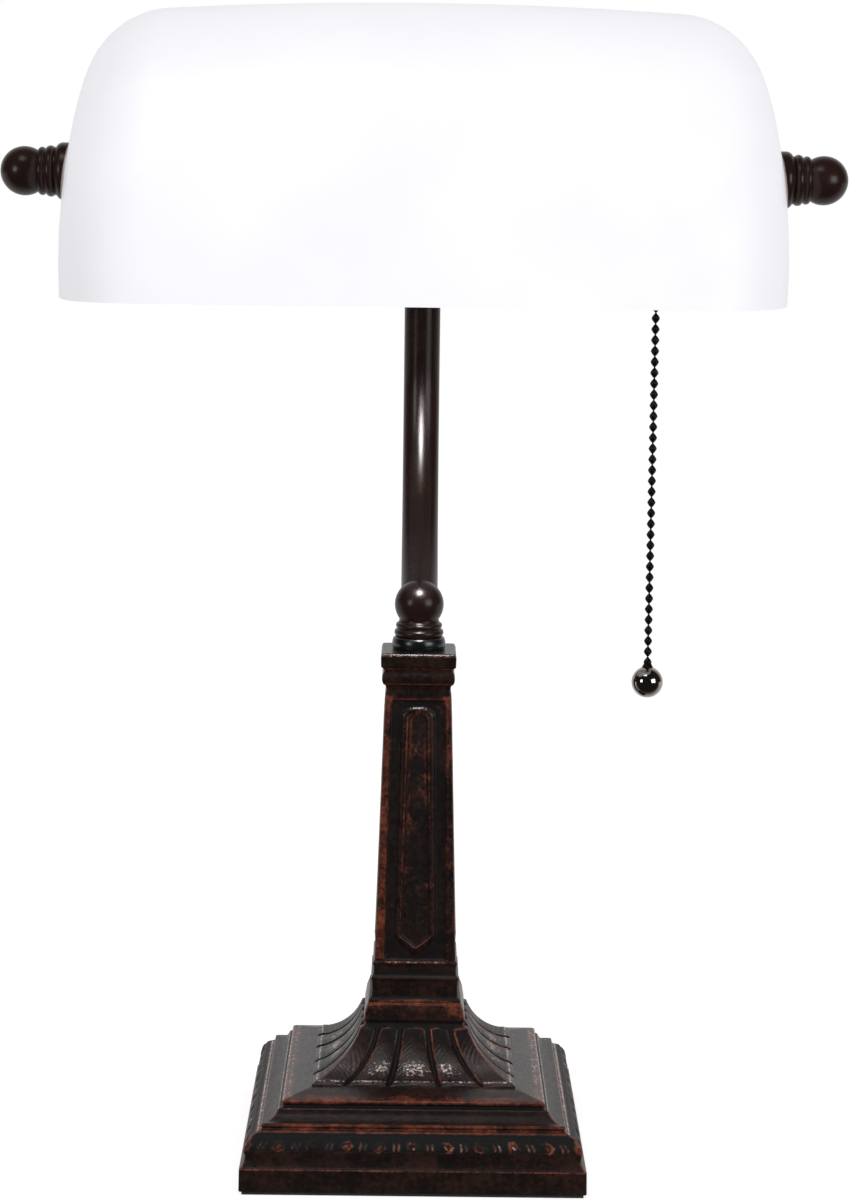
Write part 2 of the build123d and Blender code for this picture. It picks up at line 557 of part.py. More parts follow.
def make_socket():
    """Pull-chain lamp socket, its carrier and the bulb."""
    low, high = SHELL_X
    neck = CAP_NECK_X
    cap_edges = Curve() + line_of((PIPE_R + 0.1, neck), (8.5, neck), (8.5, neck - 4.5))
    cap_edges += ThreePointArc((8.5, neck - 4.5), (14.4, 86.4), (SHELL_R + 0.9, 80.0))
    cap_edges += line_of((SHELL_R + 0.9, 80.0), (SHELL_R + 0.9, 76.0), (SHELL_R, 76.0), (SHELL_R, 80.0))
    cap_edges += ThreePointArc((SHELL_R, 80.0), (13.6, 85.7), (7.4, neck - 5.2))
    cap_edges += line_of((7.4, neck - 5.2), (7.4, neck - 1.2), (PIPE_R + 0.1, neck - 1.2))
    cap_edges += Line((PIPE_R + 0.1, neck - 1.2), (PIPE_R + 0.1, neck))
    shell_edges = Curve() + line_of((SHELL_R - 1.6, low), (SHELL_R - 0.8, low), (SHELL_R, low + 3))
    shell_edges += line_of((SHELL_R, low + 3), (SHELL_R, high), (SHELL_R - 0.8, high))
    shell_edges += line_of((SHELL_R - 0.8, high), (SHELL_R - 0.8, low + 3.2), (SHELL_R - 1.6, low))
    bell_hole = Pos(CHAIN_X, SOCKET_Y, SOCKET_Z - 20) * Cylinder(2.4, 24)
    bell_edges = line_of((1.9, 0), (4.2, 0), (4.2, 1.0), (2.9, 2.4), (2.4, 5.0), (2.4, 6.8))
    bell = turned(bell_edges + line_of((2.4, 6.8), (1.9, 6.8), (1.9, 0)))
    shoulder = radians(15)
    belly = (BULB_R * cos(shoulder), BULB_X + BULB_R * sin(shoulder))
    tip = BULB_X - BULB_R
    bulb_edges = Curve() + Line((0, 37.6), (12.6, 37.6)) + ThreePointArc((12.6, 37.6), (17.7, 8.0), belly)
    bulb_edges += ThreePointArc(belly, (BULB_R * sqrt(0.5), BULB_X - BULB_R * sqrt(0.5)), (0, tip))
    bulb_edges += Line((0, tip), (0, 37.6))
    bulb_cap_edges = line_of((0, 37.6), (13.2, 37.6), (13.2, 58.0), (8.0, 61.5), (4.8, 63.5))
    bulb_cap = turned(bulb_cap_edges + line_of((4.8, 63.5), (0, 63.5), (0, 37.6)))
    return {
        "socket_tab": socket_tab(),
        "socket_nipple": at_socket(ring(PIPE_R, PIPE_BORE_R, neck - 3.0, TAB_X[1] + 1.8)),
        "socket_nipple_nut": at_socket(hex_nut(12.0, PIPE_R, TAB_X[1], TAB_X[1] + 1.5)),
        "socket_spacer": at_socket(ring(8.0, PIPE_R, neck, TAB_X[0])),
        "socket_cap": at_socket(turned(cap_edges)),
        "socket_shell": at_socket(turned(shell_edges)) - bell_hole,
        "socket_liner": at_socket(ring(SHELL_R - 0.9, SHELL_R - 1.7, low + 4, 66.0)),
        "switch_body": at_socket(ring(SHELL_R - 0.9, 0, 66.0, 78.0)) - bell_hole,
        "screw_shell": at_socket(ring(14.2, 13.4, 38.0, 66.0)),
        "centre_contact": at_socket(Pos(0, 0, 64.75) * Box(5, 12, 2.5)),
        "chain_bell": Pos(CHAIN_X, SOCKET_Y, CHAIN_TOP_Z - 1.2) * bell,
        "bulb_glass": at_socket(turned(bulb_edges)),
        "bulb_cap": at_socket(bulb_cap),
    }


def bead(z):
    """One bead of the chain."""
    return Pos(CHAIN_X, SOCKET_Y, z) * Sphere(BEAD_R)


def chain_wire(low, high):
    """Wire on the chain's line."""
    return Pos(CHAIN_X, SOCKET_Y, 0) * ring(BEAD_WIRE_R, 0, low, high)


def make_chain():
    """Bead chain from the switch inside the bell down to the pull ball."""
    gap = 0.05
    lead_z = CHAIN_TOP_Z + BEAD_PITCH
    first = CHAIN_TOP_Z - BEAD_PITCH
    last = first - BEAD_PITCH * (BEAD_COUNT - 1)
    chain = chain_wire(last, CHAIN_TOP_Z - BEAD_R - gap)
    for index in range(BEAD_COUNT):
        chain += bead(first - BEAD_PITCH * index)
    top = PULL_BALL_Z + PULL_BALL_R
    neck = turned(line_of((0, top - 0.9), (2.5, top - 0.9), (2.3, top - 0.2), (1.5, top + 1.3),
                          (0.9, top + 2.6), (0, top + 2.6), (0, top - 0.9)))
    ball = Pos(CHAIN_X, SOCKET_Y, PULL_BALL_Z) * Sphere(PULL_BALL_R)
    return {
        "pull_link": bead(lead_z) + chain_wire(lead_z, lead_z + 6),
        "chain_swivel_bead": bead(CHAIN_TOP_Z) + chain_wire(CHAIN_TOP_Z, lead_z - BEAD_R - gap),
        "pull_chain": chain,
        "chain_connector": Pos(CHAIN_X, SOCKET_Y, 0) * neck - ball - chain,
        "pull_ball": ball,
    }


def make_all():
    """Every piece of the lamp, by the name of its node."""
    nodes = {
        "base_casting": make_base_casting(),
        "cord_bushing": make_cord_bushing(),
        "column_casting": make_column_casting(),
        "seat_collar": make_seat_collar(),
        "arm_ball": make_arm_ball(),
        "gooseneck_arm": make_gooseneck_arm(),
        "shade_bracket": make_shade_bracket(),
        "shade_glass": make_shade_glass(),
    }
    for group in (make_stand_inside(), make_arm_end(), make_ends(), make_socket(), make_chain()):
        nodes.update(group)
    return nodes


os.makedirs("parts", exist_ok=True)
for node, solid in make_all().items():
    export_step(solid, "parts/" + node + ".step")
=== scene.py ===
import logging
from dataclasses import dataclass, field
from enum import Enum
from functools import reduce
from math import asin, cos, radians, sin
from typing import Callable, Dict, List, Optional, Sequence, Tuple

import bpy
import numpy as np
from mathutils import Matrix, Vector


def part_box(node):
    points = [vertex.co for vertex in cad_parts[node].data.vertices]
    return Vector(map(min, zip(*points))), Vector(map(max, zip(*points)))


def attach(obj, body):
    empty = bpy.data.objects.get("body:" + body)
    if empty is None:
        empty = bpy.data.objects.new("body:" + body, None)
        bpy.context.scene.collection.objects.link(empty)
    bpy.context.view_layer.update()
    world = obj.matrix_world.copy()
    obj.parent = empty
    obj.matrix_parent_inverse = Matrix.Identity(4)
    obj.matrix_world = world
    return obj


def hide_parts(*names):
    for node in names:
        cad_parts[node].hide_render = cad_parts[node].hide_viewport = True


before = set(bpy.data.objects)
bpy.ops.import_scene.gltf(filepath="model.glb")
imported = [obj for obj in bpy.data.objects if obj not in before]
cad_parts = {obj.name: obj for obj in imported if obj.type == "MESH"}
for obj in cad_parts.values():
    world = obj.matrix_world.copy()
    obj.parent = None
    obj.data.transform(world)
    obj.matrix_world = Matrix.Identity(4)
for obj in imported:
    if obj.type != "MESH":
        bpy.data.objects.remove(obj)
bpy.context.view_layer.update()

# Dressed model of a desk lamp: an opal glass hood on a gooseneck arm and a cast square stand.
# Shapes are worked out in millimetres and turned into metres where a mesh is made. The frame's
# own axes hold: +Z up, the front towards -Y, the underside at zero.

LOG = logging.getLogger("desk_lamp")
MM = 0.001
SAME = 1e-6  # points closer than this, in millimetres, are one
Colour = Tuple[float, float, float]
Point = Tuple[float, float]
Span = Tuple[float, float, float, float]
Fields = Dict[str, np.ndarray]


# ---- Outlines and blending curves

def ease(low: float, high: float, value: np.ndarray) -> np.ndarray:
    """0 below low, 1 above high and a smooth S between, t * t * (3 - 2 t)."""
    t = np.clip((value - low) / (high - low), 0, 1)
    return t * t * (3 - 2 * t)


def within(span: Span, value: np.ndarray) -> np.ndarray:
    """1 inside a span, which rises between its first two values and falls between its last."""
    return ease(span[0], span[1], value) * ease(span[3], span[2], value)


def bump_at(distance: np.ndarray, half_width: float) -> np.ndarray:
    """Bell curve of height 1 at distance 0 that falls to about a third at the half width."""
    return np.exp(-((distance / half_width) ** 2))


def strongest(*layers: np.ndarray) -> np.ndarray:
    """The largest of several fields, point by point."""
    return reduce(np.maximum, layers)


def softened(outline: np.ndarray, radius: float, steps: int) -> np.ndarray:
    """Outline with every inner corner rounded.

    Each corner gives way to a quadratic curve that leaves its two sides at the same distance:
    the radius, or less where a side is short.

    Args:
        outline: Points of the outline, whose first and last stay.
        radius: How far from a corner the curve starts.
        steps: Number of stretches in each curve.

    Returns:
        The rounded outline.
    """
    corner = outline[1:-1]
    back, ahead = outline[:-2] - corner, outline[2:] - corner
    back_length = np.linalg.norm(back, axis=1, keepdims=True)
    ahead_length = np.linalg.norm(ahead, axis=1, keepdims=True)
    cut = np.minimum(radius, 0.45 * np.minimum(back_length, ahead_length))
    first = (corner + back / back_length * cut)[:, None]
    last = (corner + ahead / ahead_length * cut)[:, None]
    t = np.linspace(0, 1, steps + 1)[None, :, None]
    curves = (1 - t) ** 2 * first + 2 * t * (1 - t) * corner[:, None] + t ** 2 * last
    return np.concatenate([outline[:1], curves.reshape(-1, 2), outline[-1:]])


class Pen:
    """Draws an open outline of (width, height) or (y, z) points, one stretch after another."""

    def __init__(self, x: float, y: float) -> None:
        """Puts the pen down."""
        self.at = np.array([x, y], float)
        self.stretches = [self.at[None]]

    def through(self, points: np.ndarray, stop: Optional[Sequence[float]] = None) -> "Pen":
        """Goes through ready points and ends at the given stop, or at the last of them."""
        self.stretches.append(points)
        self.at = np.array(points[-1] if stop is None else stop, float)
        return self

    def line(self, x: float, y: float, steps: int = 1) -> "Pen":
        """Straight stretch to a point, in even steps."""
        return self.through(np.linspace(self.at, (x, y), steps + 1), (x, y))

    def soft(self, radius: float, steps: int, *points: Point) -> "Pen":
        """Straight stretches through points, with every corner between them rounded."""
        return self.through(softened(np.array([self.at, *points]), radius, steps), points[-1])

    def arc(self, middle: Sequence[float], stop: Sequence[float], steps: int) -> "Pen":
        """Circular stretch.

        The centre is where the perpendicular bisectors of the two chords meet, and the points
        lie at even angles between the first and the last.

        Args:
            middle: A point on the way.
            stop: Last point.
            steps: Number of points after the first.

        Returns:
            The pen itself.
        """
        a, b, c = (np.asarray(point, float) for point in (self.at, middle, stop))
        centre = np.linalg.solve(2 * np.stack([b - a, c - a]), [b @ b - a @ a, c @ c - a @ a])
        angle_a, angle_b, angle_c = (np.arctan2(*(point - centre)[::-1]) for point in (a, b, c))
        turn_b, turn_c = ((angle - angle_a) % (2 * np.pi) for angle in (angle_b, angle_c))
        turn = turn_c if turn_b < turn_c else turn_c - 2 * np.pi
        angles = angle_a + turn * np.linspace(0, 1, steps + 1)
        spokes = np.stack([np.cos(angles), np.sin(angles)], axis=1)
        return self.through(centre + np.linalg.norm(a - centre) * spokes, stop)

    def points(self) -> np.ndarray:
        """The whole outline, with no point twice in a row."""
        line = np.concatenate(self.stretches)
        fresh = np.linalg.norm(np.diff(line, axis=0), axis=1) > SAME
        return line[np.concatenate([[True], fresh])]


# ---- Surfaces and meshes

@dataclass
class Surface:
    """Rows and columns of points; the columns close on themselves.

    Attributes:
        points: Array of rows, columns and coordinates, in millimetres.
        fields: Numbers for each point, by name, for the finish to read.
    """

    points: np.ndarray
    fields: Fields = field(default_factory=dict)

    def faces(self) -> List[np.ndarray]:
        """Point numbers of the quads, and of the triangles round a pole.

        A first or last row whose points all coincide is a pole and uses one point.

        Returns:
            Arrays of four and of three point numbers.
        """
        rows, columns = self.points.shape[:2]
        index = np.arange(rows * columns).reshape(rows, columns)
        at_pole = np.ptp(self.points[[0, -1]], axis=1).max(axis=1) < SAME
        body = index[int(at_pole[0]):rows - int(at_pole[1])]
        ahead = np.roll(body, -1, axis=1)
        quads = np.stack([body[:-1], ahead[:-1], ahead[1:], body[1:]], axis=-1)
        groups = [quads.reshape(-1, 4)]
        if at_pole[0]:
            pole = np.full(columns, index[0, 0])
            groups.append(np.stack([pole, ahead[0], body[0]], axis=-1))
        if at_pole[1]:
            pole = np.full(columns, index[-1, 0])
            groups.append(np.stack([body[-1], ahead[-1], pole], axis=-1))
        return groups

    def moved(self, offset: Sequence[float], turn: Optional[np.ndarray] = None) -> "Surface":
        """The surface turned by a matrix, if one is given, and then shifted."""
        points = self.points if turn is None else self.points @ turn.T
        return Surface(points + np.asarray(offset, float), self.fields)


def signed_volume(vertices: np.ndarray, faces: Sequence[np.ndarray]) -> float:
    """Volume inside closed faces: a sixth of each corner triple's box product, as fans."""
    total = 0.0
    for group in faces:
        first = vertices[group[:, 0]]
        for second in range(1, group.shape[1] - 1):
            product = np.cross(vertices[group[:, second]], vertices[group[:, second + 1]])
            total += float((first * product).sum()) / 6
    return total


def linked(name: str, data: bpy.types.ID) -> bpy.types.Object:
    """New object of the scene, at the origin."""
    made = bpy.data.objects.new(name, data)
    bpy.context.scene.collection.objects.link(made)
    return made


def make_piece(name: str, surfaces: Sequence[Surface]) -> bpy.types.Object:
    """Smooth mesh object from closed surfaces, with its faces outwards.

    Args:
        name: Name of the piece.
        surfaces: The surfaces that make it up, in millimetres. Their fields become attributes.

    Returns:
        The object, at the origin, with its place in its mesh.
    """
    vertices, corners, sizes = [], [], []
    start = 0
    for surface in surfaces:
        flat = surface.points.reshape(-1, 3)
        groups = surface.faces()
        if signed_volume(flat, groups) < 0:
            groups = [group[:, ::-1] for group in groups]
        vertices.append(flat)
        corners += [group.ravel() + start for group in groups]
        sizes += [np.full(len(group), group.shape[1]) for group in groups]
        start += len(flat)
    used, corner = np.unique(np.concatenate(corners), return_inverse=True)
    size = np.concatenate(sizes)
    places = np.concatenate(vertices)[used] * MM
    mesh = bpy.data.meshes.new(name)
    mesh.vertices.add(len(used))
    mesh.vertices.foreach_set("co", places.astype(np.float32).ravel())
    mesh.loops.add(len(corner))
    mesh.loops.foreach_set("vertex_index", corner.astype(np.int32))
    mesh.polygons.add(len(size))
    mesh.polygons.foreach_set("loop_start", (np.cumsum(size) - size).astype(np.int32))
    mesh.polygons.foreach_set("use_smooth", np.ones(len(size), bool))
    mesh.update(calc_edges=True)
    mesh.validate()
    for key in surfaces[0].fields:
        values = np.concatenate([surface.fields[key].ravel() for surface in surfaces])[used]
        attribute = mesh.attributes.new(key, "FLOAT", "POINT")
        attribute.data.foreach_set("value", values.astype(np.float32))
    return linked(name, mesh)


def turned(outline: np.ndarray, segments: int = 96) -> Surface:
    """Surface of revolution about Z: x = r cos a, y = r sin a, z = height.

    Args:
        outline: Points of (radius, height), from the lower pole to the upper one.
        segments: Number of columns round the axis.

    Returns:
        The surface.
    """
    angle = np.linspace(0, 2 * np.pi, segments, endpoint=False)
    radius, height = outline[:, :1], outline[:, 1:]
    rings = [radius * np.cos(angle), radius * np.sin(angle), height + 0 * angle]
    return Surface(np.stack(rings, axis=-1))


def tube(path: np.ndarray, radius: float, segments: int = 64) -> Surface:
    """Round bar along a path in the YZ plane, with flat ends.

    Each ring stands square to the path: across it lies +X, and the other direction is the
    path's own direction turned a quarter in the YZ plane.

    Args:
        path: Points of (y, z).
        radius: Radius of the bar.
        segments: Number of columns round the bar.

    Returns:
        The surface, closed by a pole at each end.
    """
    along = np.gradient(path, axis=0)
    along /= np.linalg.norm(along, axis=1, keepdims=True)
    angle = np.linspace(0, 2 * np.pi, segments, endpoint=False)[None, :, None]
    none = np.zeros((len(path), 1))
    centre = np.concatenate([none, path], axis=1)[:, None]
    side = np.array([1.0, 0.0, 0.0])
    other = np.concatenate([none, -along[:, 1:], along[:, :1]], axis=1)[:, None]
    rings = centre + radius * (np.cos(angle) * side + np.sin(angle) * other)
    ends = [np.repeat(centre[row][None], segments, axis=1) for row in (0, -1)]
    return Surface(np.concatenate([ends[0], rings, ends[1]]))


# ---- Shader helpers

def tint(code: int) -> Colour:
    """Linear colour of a screen colour, given as 0xRRGGBB."""
    levels = np.array(list(code.to_bytes(3, "big"))) / 255
    linear = np.where(levels <= 0.04045, levels / 12.92, ((levels + 0.055) / 1.055) ** 2.4)
    return tuple(float(level) for level in linear)


def _maths(operation: str, swapped: bool = False) -> Callable[["Num", object], "Num"]:
    """Method that puts a Num and another number, a Num or a plain value, into a Math node.

    Args:
        operation: The node's operation.
        swapped: Whether the other number comes first.

    Returns:
        The method.
    """
    def method(self: "Num", other: object = 0.0) -> "Num":
        """The two numbers through the node."""
        first, second = (other, self) if swapped else (self, other)
        values = {0: first, 1: second}
        return self.graph.number("ShaderNodeMath", {"operation": operation}, values)

    return method


@dataclass
class Num:
    """A number in a node tree; arithmetic on it adds Math nodes.

    Attributes:
        graph: The tree.
        socket: The socket that the number comes from.
    """

    graph: "Graph"
    socket: bpy.types.NodeSocket

    __add__ = __radd__ = _maths("ADD")
    __sub__ = _maths("SUBTRACT")
    __rsub__ = _maths("SUBTRACT", swapped=True)
    __mul__ = __rmul__ = _maths("MULTIPLY")
    __truediv__ = _maths("DIVIDE")
    __abs__ = _maths("ABSOLUTE")
    larger = _maths("MAXIMUM")

    def eased(self, low: float, high: float, start: float = 0.0, stop: float = 1.0) -> "Num":
        """Smooth step from start at low to stop at high.

        Args:
            low: Value at which the step starts.
            high: Value at which it ends.
            start: Result below low.
            stop: Result above high.

        Returns:
            The stepped number.
        """
        names = ("Value", "From Min", "From Max", "To Min", "To Max")
        values = dict(zip(names, (self, low, high, start, stop)))
        settings = {"interpolation_type": "SMOOTHSTEP"}
        return self.graph.number("ShaderNodeMapRange", settings, values)


class Graph:
    """Node tree of a material or a world."""

    def __init__(self, owner: bpy.types.ID) -> None:
        """Starts with an empty tree."""
        owner.use_nodes = True
        self.tree = owner.node_tree
        self.tree.nodes.clear()

    def node(self, kind: str, settings: Optional[Dict[str, object]] = None,
             values: Optional[Dict[object, object]] = None) -> bpy.types.Node:
        """Any node.

        Args:
            kind: The node's type.
            settings: Its own settings, which are set first.
            values: For a socket's name or number, a plain value, a socket or a Num.

        Returns:
            The node.
        """
        made = self.tree.nodes.new(kind)
        for key, value in (settings or {}).items():
            setattr(made, key, value)
        for key, value in (values or {}).items():
            source = value.socket if isinstance(value, Num) else value
            if isinstance(source, bpy.types.NodeSocket):
                self.tree.links.new(source, made.inputs[key])
            else:
                made.inputs[key].default_value = source
        return made

    def number(self, kind: str, settings: Optional[Dict[str, object]] = None,
               values: Optional[Dict[object, object]] = None) -> Num:
        """The first output of a node, as a number."""
        return Num(self, self.node(kind, settings, values).outputs[0])

    def place(self) -> bpy.types.NodeSocket:
        """Object coordinates, in metres."""
        return self.node("ShaderNodeTexCoord").outputs["Object"]

    def parts(self, vector: bpy.types.NodeSocket) -> List[Num]:
        """The x, y and z of a vector."""
        node = self.node("ShaderNodeSeparateXYZ", None, {0: vector})
        return [Num(self, output) for output in node.outputs]

    def noise(self, size: float, detail: float = 3.0, rough: float = 0.5) -> Num:
        """Soft noise from 0 to 1 over the object's own coordinates.

        Args:
            size: Width of its largest blots, in millimetres.
            detail: How many finer layers lie on them.
            rough: Strength of the finer layers.

        Returns:
            The noise.
        """
        values = {"Vector": self.place(), "Scale": 1 / (size * MM), "Detail": detail,
                  "Roughness": rough}
        return self.number("ShaderNodeTexNoise", None, values)

    def field(self, name: str) -> Num:
        """One of the piece's own fields."""
        node = self.node("ShaderNodeAttribute", {"attribute_name": name})
        return Num(self, node.outputs["Fac"])

    def blend(self, amount: object, first: object, second: object) -> bpy.types.NodeSocket:
        """Colour that goes from the first to the second with the amount.

        Args:
            amount: 0 for the first and 1 for the second.
            first: A socket, a linear colour or a screen colour's number.
            second: The same.

        Returns:
            The mixed colour.
        """
        ends = [tint(end) if isinstance(end, int) else end for end in (first, second)]
        ends = [end + (1.0,) if isinstance(end, tuple) else end for end in ends]
        values = {0: amount, 6: ends[0], 7: ends[1]}
        return self.node("ShaderNodeMix", {"data_type": "RGBA"}, values).outputs[2]

    def grey(self, level: Num) -> bpy.types.NodeSocket:
        """Grey of the given brightness."""
        values = {channel: level for channel in range(3)}
        return self.node("ShaderNodeCombineColor", None, values).outputs[0]

    def grain(self, height: Num, depth: float) -> bpy.types.NodeSocket:
        """Normal of a surface with the given relief; its depth is in millimetres."""
        values = {"Height": height, "Distance": depth * MM, "Strength": 1.0}
        return self.node("ShaderNodeBump", None, values).outputs[0]

    def shader(self, kind: str, values: Dict[object, object]) -> bpy.types.NodeSocket:
        """Output of a shader node."""
        return self.number(kind, None, values).socket

    def show(self, surface: bpy.types.NodeSocket, kind: str = "ShaderNodeOutputMaterial") -> None:
        """Makes a shader the tree's result."""
        self.node(kind, None, {"Surface": surface})


# ---- Finishes

class Slot(Enum):
    """The record's material slots."""

    ANTIQUE_BRONZE = "antique_bronze"
    BRONZE_ENAMEL = "bronze_enamel"
    BLACK_ENAMEL = "black_enamel"
    OPAL_GLASS = "opal_glass"
    CLEAR_WASHER = "clear_washer"
    BLACK_CHAIN = "black_chain"
    BLACK_NICKEL = "black_nickel"
    ZINC_STEEL = "zinc_steel"
    RAW_IRON = "raw_iron"
    FELT = "felt"
    BLACK_PLASTIC = "black_plastic"
    LINER_BOARD = "liner_board"
    SOCKET_BRASS = "socket_brass"
    BULB_WHITE = "bulb_white"
    BULB_METAL = "bulb_metal"


@dataclass(frozen=True)
class Finish:
    """Plain finish: two close colours in soft blots, an uneven gloss and a fine grain.

    Attributes:
        base: Main colour, as 0xRRGGBB.
        blot: Colour of the blots, likewise.
        blot_size: Width of the blots in millimetres.
        gloss: Roughness in the glossiest and in the dullest places.
        metallic: 1 for bare metal, 0 otherwise.
        specular: Strength of the reflection straight on, 0.5 for a common lacquer.
        grain_size: Width of the grain in millimetres.
        grain_depth: Depth of the grain in millimetres.
    """

    base: int
    blot: int
    blot_size: float
    gloss: Point
    metallic: float
    specular: float
    grain_size: float
    grain_depth: float

    def build(self, name: str) -> bpy.types.Material:
        """The material under the given name."""
        material = bpy.data.materials.new(name)
        graph = Graph(material)
        graph.show(graph.shader("ShaderNodeBsdfPrincipled", self.sockets(graph)))
        return material

    def sockets(self, graph: Graph) -> Dict[object, object]:
        """Values and links of the shader's sockets."""
        blots = graph.noise(self.blot_size)
        grain = graph.noise(self.grain_size, detail=2.0)
        return {
            "Base Color": graph.blend(blots.eased(0.35, 0.65), self.base, self.blot),
            "Roughness": blots.eased(0.3, 0.7, *self.gloss),
            "Metallic": self.metallic,
            "Specular IOR Level": self.specular,
            "Normal": graph.grain(grain, self.grain_depth),
        }


@dataclass(frozen=True)
class AntiqueBronze(Finish):
    """Black-brown lacquer on a casting, rubbed through to red-brown on what stands out.

    Attributes:
        rub: Colour of a rubbed edge.
        ember: Colour of a rubbed edge where it is deepest.
        bare_and_glint: Colour of the palest specks, where the metal shows, and of painted glints.
        darkened: Colour of the deepest grooves, and of the painted shade.
    """

    rub: int = 0x522114
    ember: int = 0x763C26
    bare_and_glint: int = 0xE2D0CA
    darkened: int = 0x0E0B0C

    def sockets(self, graph: Graph) -> Dict[object, object]:
        """Values and links of the shader's sockets.

        The casting's own fields say where it is worn, where it is sooty, where shade is painted
        on it and where pale specks, partly painted glints, show. Noise of five sizes breaks their
        borders: the lacquer is gone where the wear, the patches and the flecks add up to enough,
        and specks show where the bareness and the flecks do.
        """
        wear, grime_and_shade, bare_and_glint = (graph.field(name) for name in ("wear", "grime_and_shade", "bare_and_glint"))
        patches = graph.noise(6.0, detail=5.0, rough=0.6)
        flecks = graph.noise(1.0, detail=3.0, rough=0.65)
        hue = graph.noise(11.0, detail=2.0)
        mottle = graph.noise(1.7, detail=4.0, rough=0.7)
        pits = graph.noise(0.55, detail=3.0, rough=0.7)
        rubbed = (wear * 1.35 + patches * 2.2 + flecks * 1.2 - 2.2).eased(0.0, 0.85)
        # Pale metallic specks, uncoated metal placed where highlights fall: partly a painted
        # glint.
        specks = (bare_and_glint * 0.9 + flecks * 1.5 - 1.4).eased(0.0, 0.25)
        shade = (hue * 0.45 + mottle * 0.55).eased(0.42, 0.6)
        lacquer = graph.blend(shade, self.base, self.blot)
        # Sooty grooves and painted shade both pull the lacquer towards one dark colour here.
        ground = graph.blend(grime_and_shade.eased(0.05, 0.8), lacquer, self.darkened)
        warm = graph.blend(mottle.eased(0.4, 0.62), self.rub, self.ember)
        colour = graph.blend(rubbed, ground, warm)
        return {
            "Base Color": graph.blend(specks * 0.85, colour, self.bare_and_glint),
            "Roughness": flecks.eased(0.3, 0.7, *self.gloss) + grime_and_shade * 0.3,
            "Metallic": specks * 0.7,
            "Specular IOR Level": self.specular,
            "Normal": graph.grain(pits * 0.5 + flecks * 0.9, self.grain_depth),
        }


@dataclass(frozen=True)
class OpalGlass(Finish):
    """Milky glass with a painted glow, paler in the middle of the hood than at its rims.

    Attributes:
        glow: Brightness of the painted glow in the middle and at the ends.
        middle: Height at which the glow is strongest, in millimetres.
        half_length: Half of the hood's length, in millimetres.
        half_height: Distance above and below the middle that counts as much, in millimetres.
        cool: Share of each primary in the glow of the ends.
    """

    glow: Point = (0.215, 0.165)
    middle: float = 296.0
    half_length: float = 110.0
    half_height: float = 55.0
    cool: Colour = (0.97, 0.97, 1.03)

    def sockets(self, graph: Graph) -> Dict[object, object]:
        """Values and links of the shader's sockets."""
        values = super().sockets(graph)
        # Painted glow: emission that fades from the middle of the hood towards its ends, top and
        # bottom.
        x, _, z = graph.parts(graph.place())
        beside = abs(x) / (self.half_length * MM)
        above = abs(z - self.middle * MM) / (self.half_height * MM)
        edge = (beside * beside + above * above * 0.5).eased(0.3, 1.35)
        high, low = self.glow
        ends = (high,) * 3, tuple(low * share for share in self.cool)
        values["Emission Color"] = graph.blend(edge, *ends)
        values["Emission Strength"] = 1.0
        return values


@dataclass(frozen=True)
class LitBulb(Finish):
    """Frosted glass of a bulb that glows softly.

    Attributes:
        power: Brightness of the glow.
        warm: Colour of the glow in its blots' troughs and crests.
    """

    power: float = 0.15
    warm: Tuple[Colour, Colour] = ((1.0, 0.93, 0.86), (1.0, 0.96, 0.92))

    def sockets(self, graph: Graph) -> Dict[object, object]:
        """Values and links of the shader's sockets, with a light that is a little uneven."""
        values = super().sockets(graph)
        values["Emission Color"] = graph.blend(graph.noise(self.blot_size), *self.warm)
        values["Emission Strength"] = self.power
        return values


@dataclass(frozen=True)
class Felt(Finish):
    """Short dense pile."""

    def sockets(self, graph: Graph) -> Dict[object, object]:
        """Values and links of the shader's sockets, with a sheen and a deeper grain."""
        values = super().sockets(graph)
        pile = graph.noise(self.grain_size, detail=6.0, rough=0.8)
        values.update({"Sheen Weight": 0.4, "Normal": graph.grain(pile, self.grain_depth)})
        return values


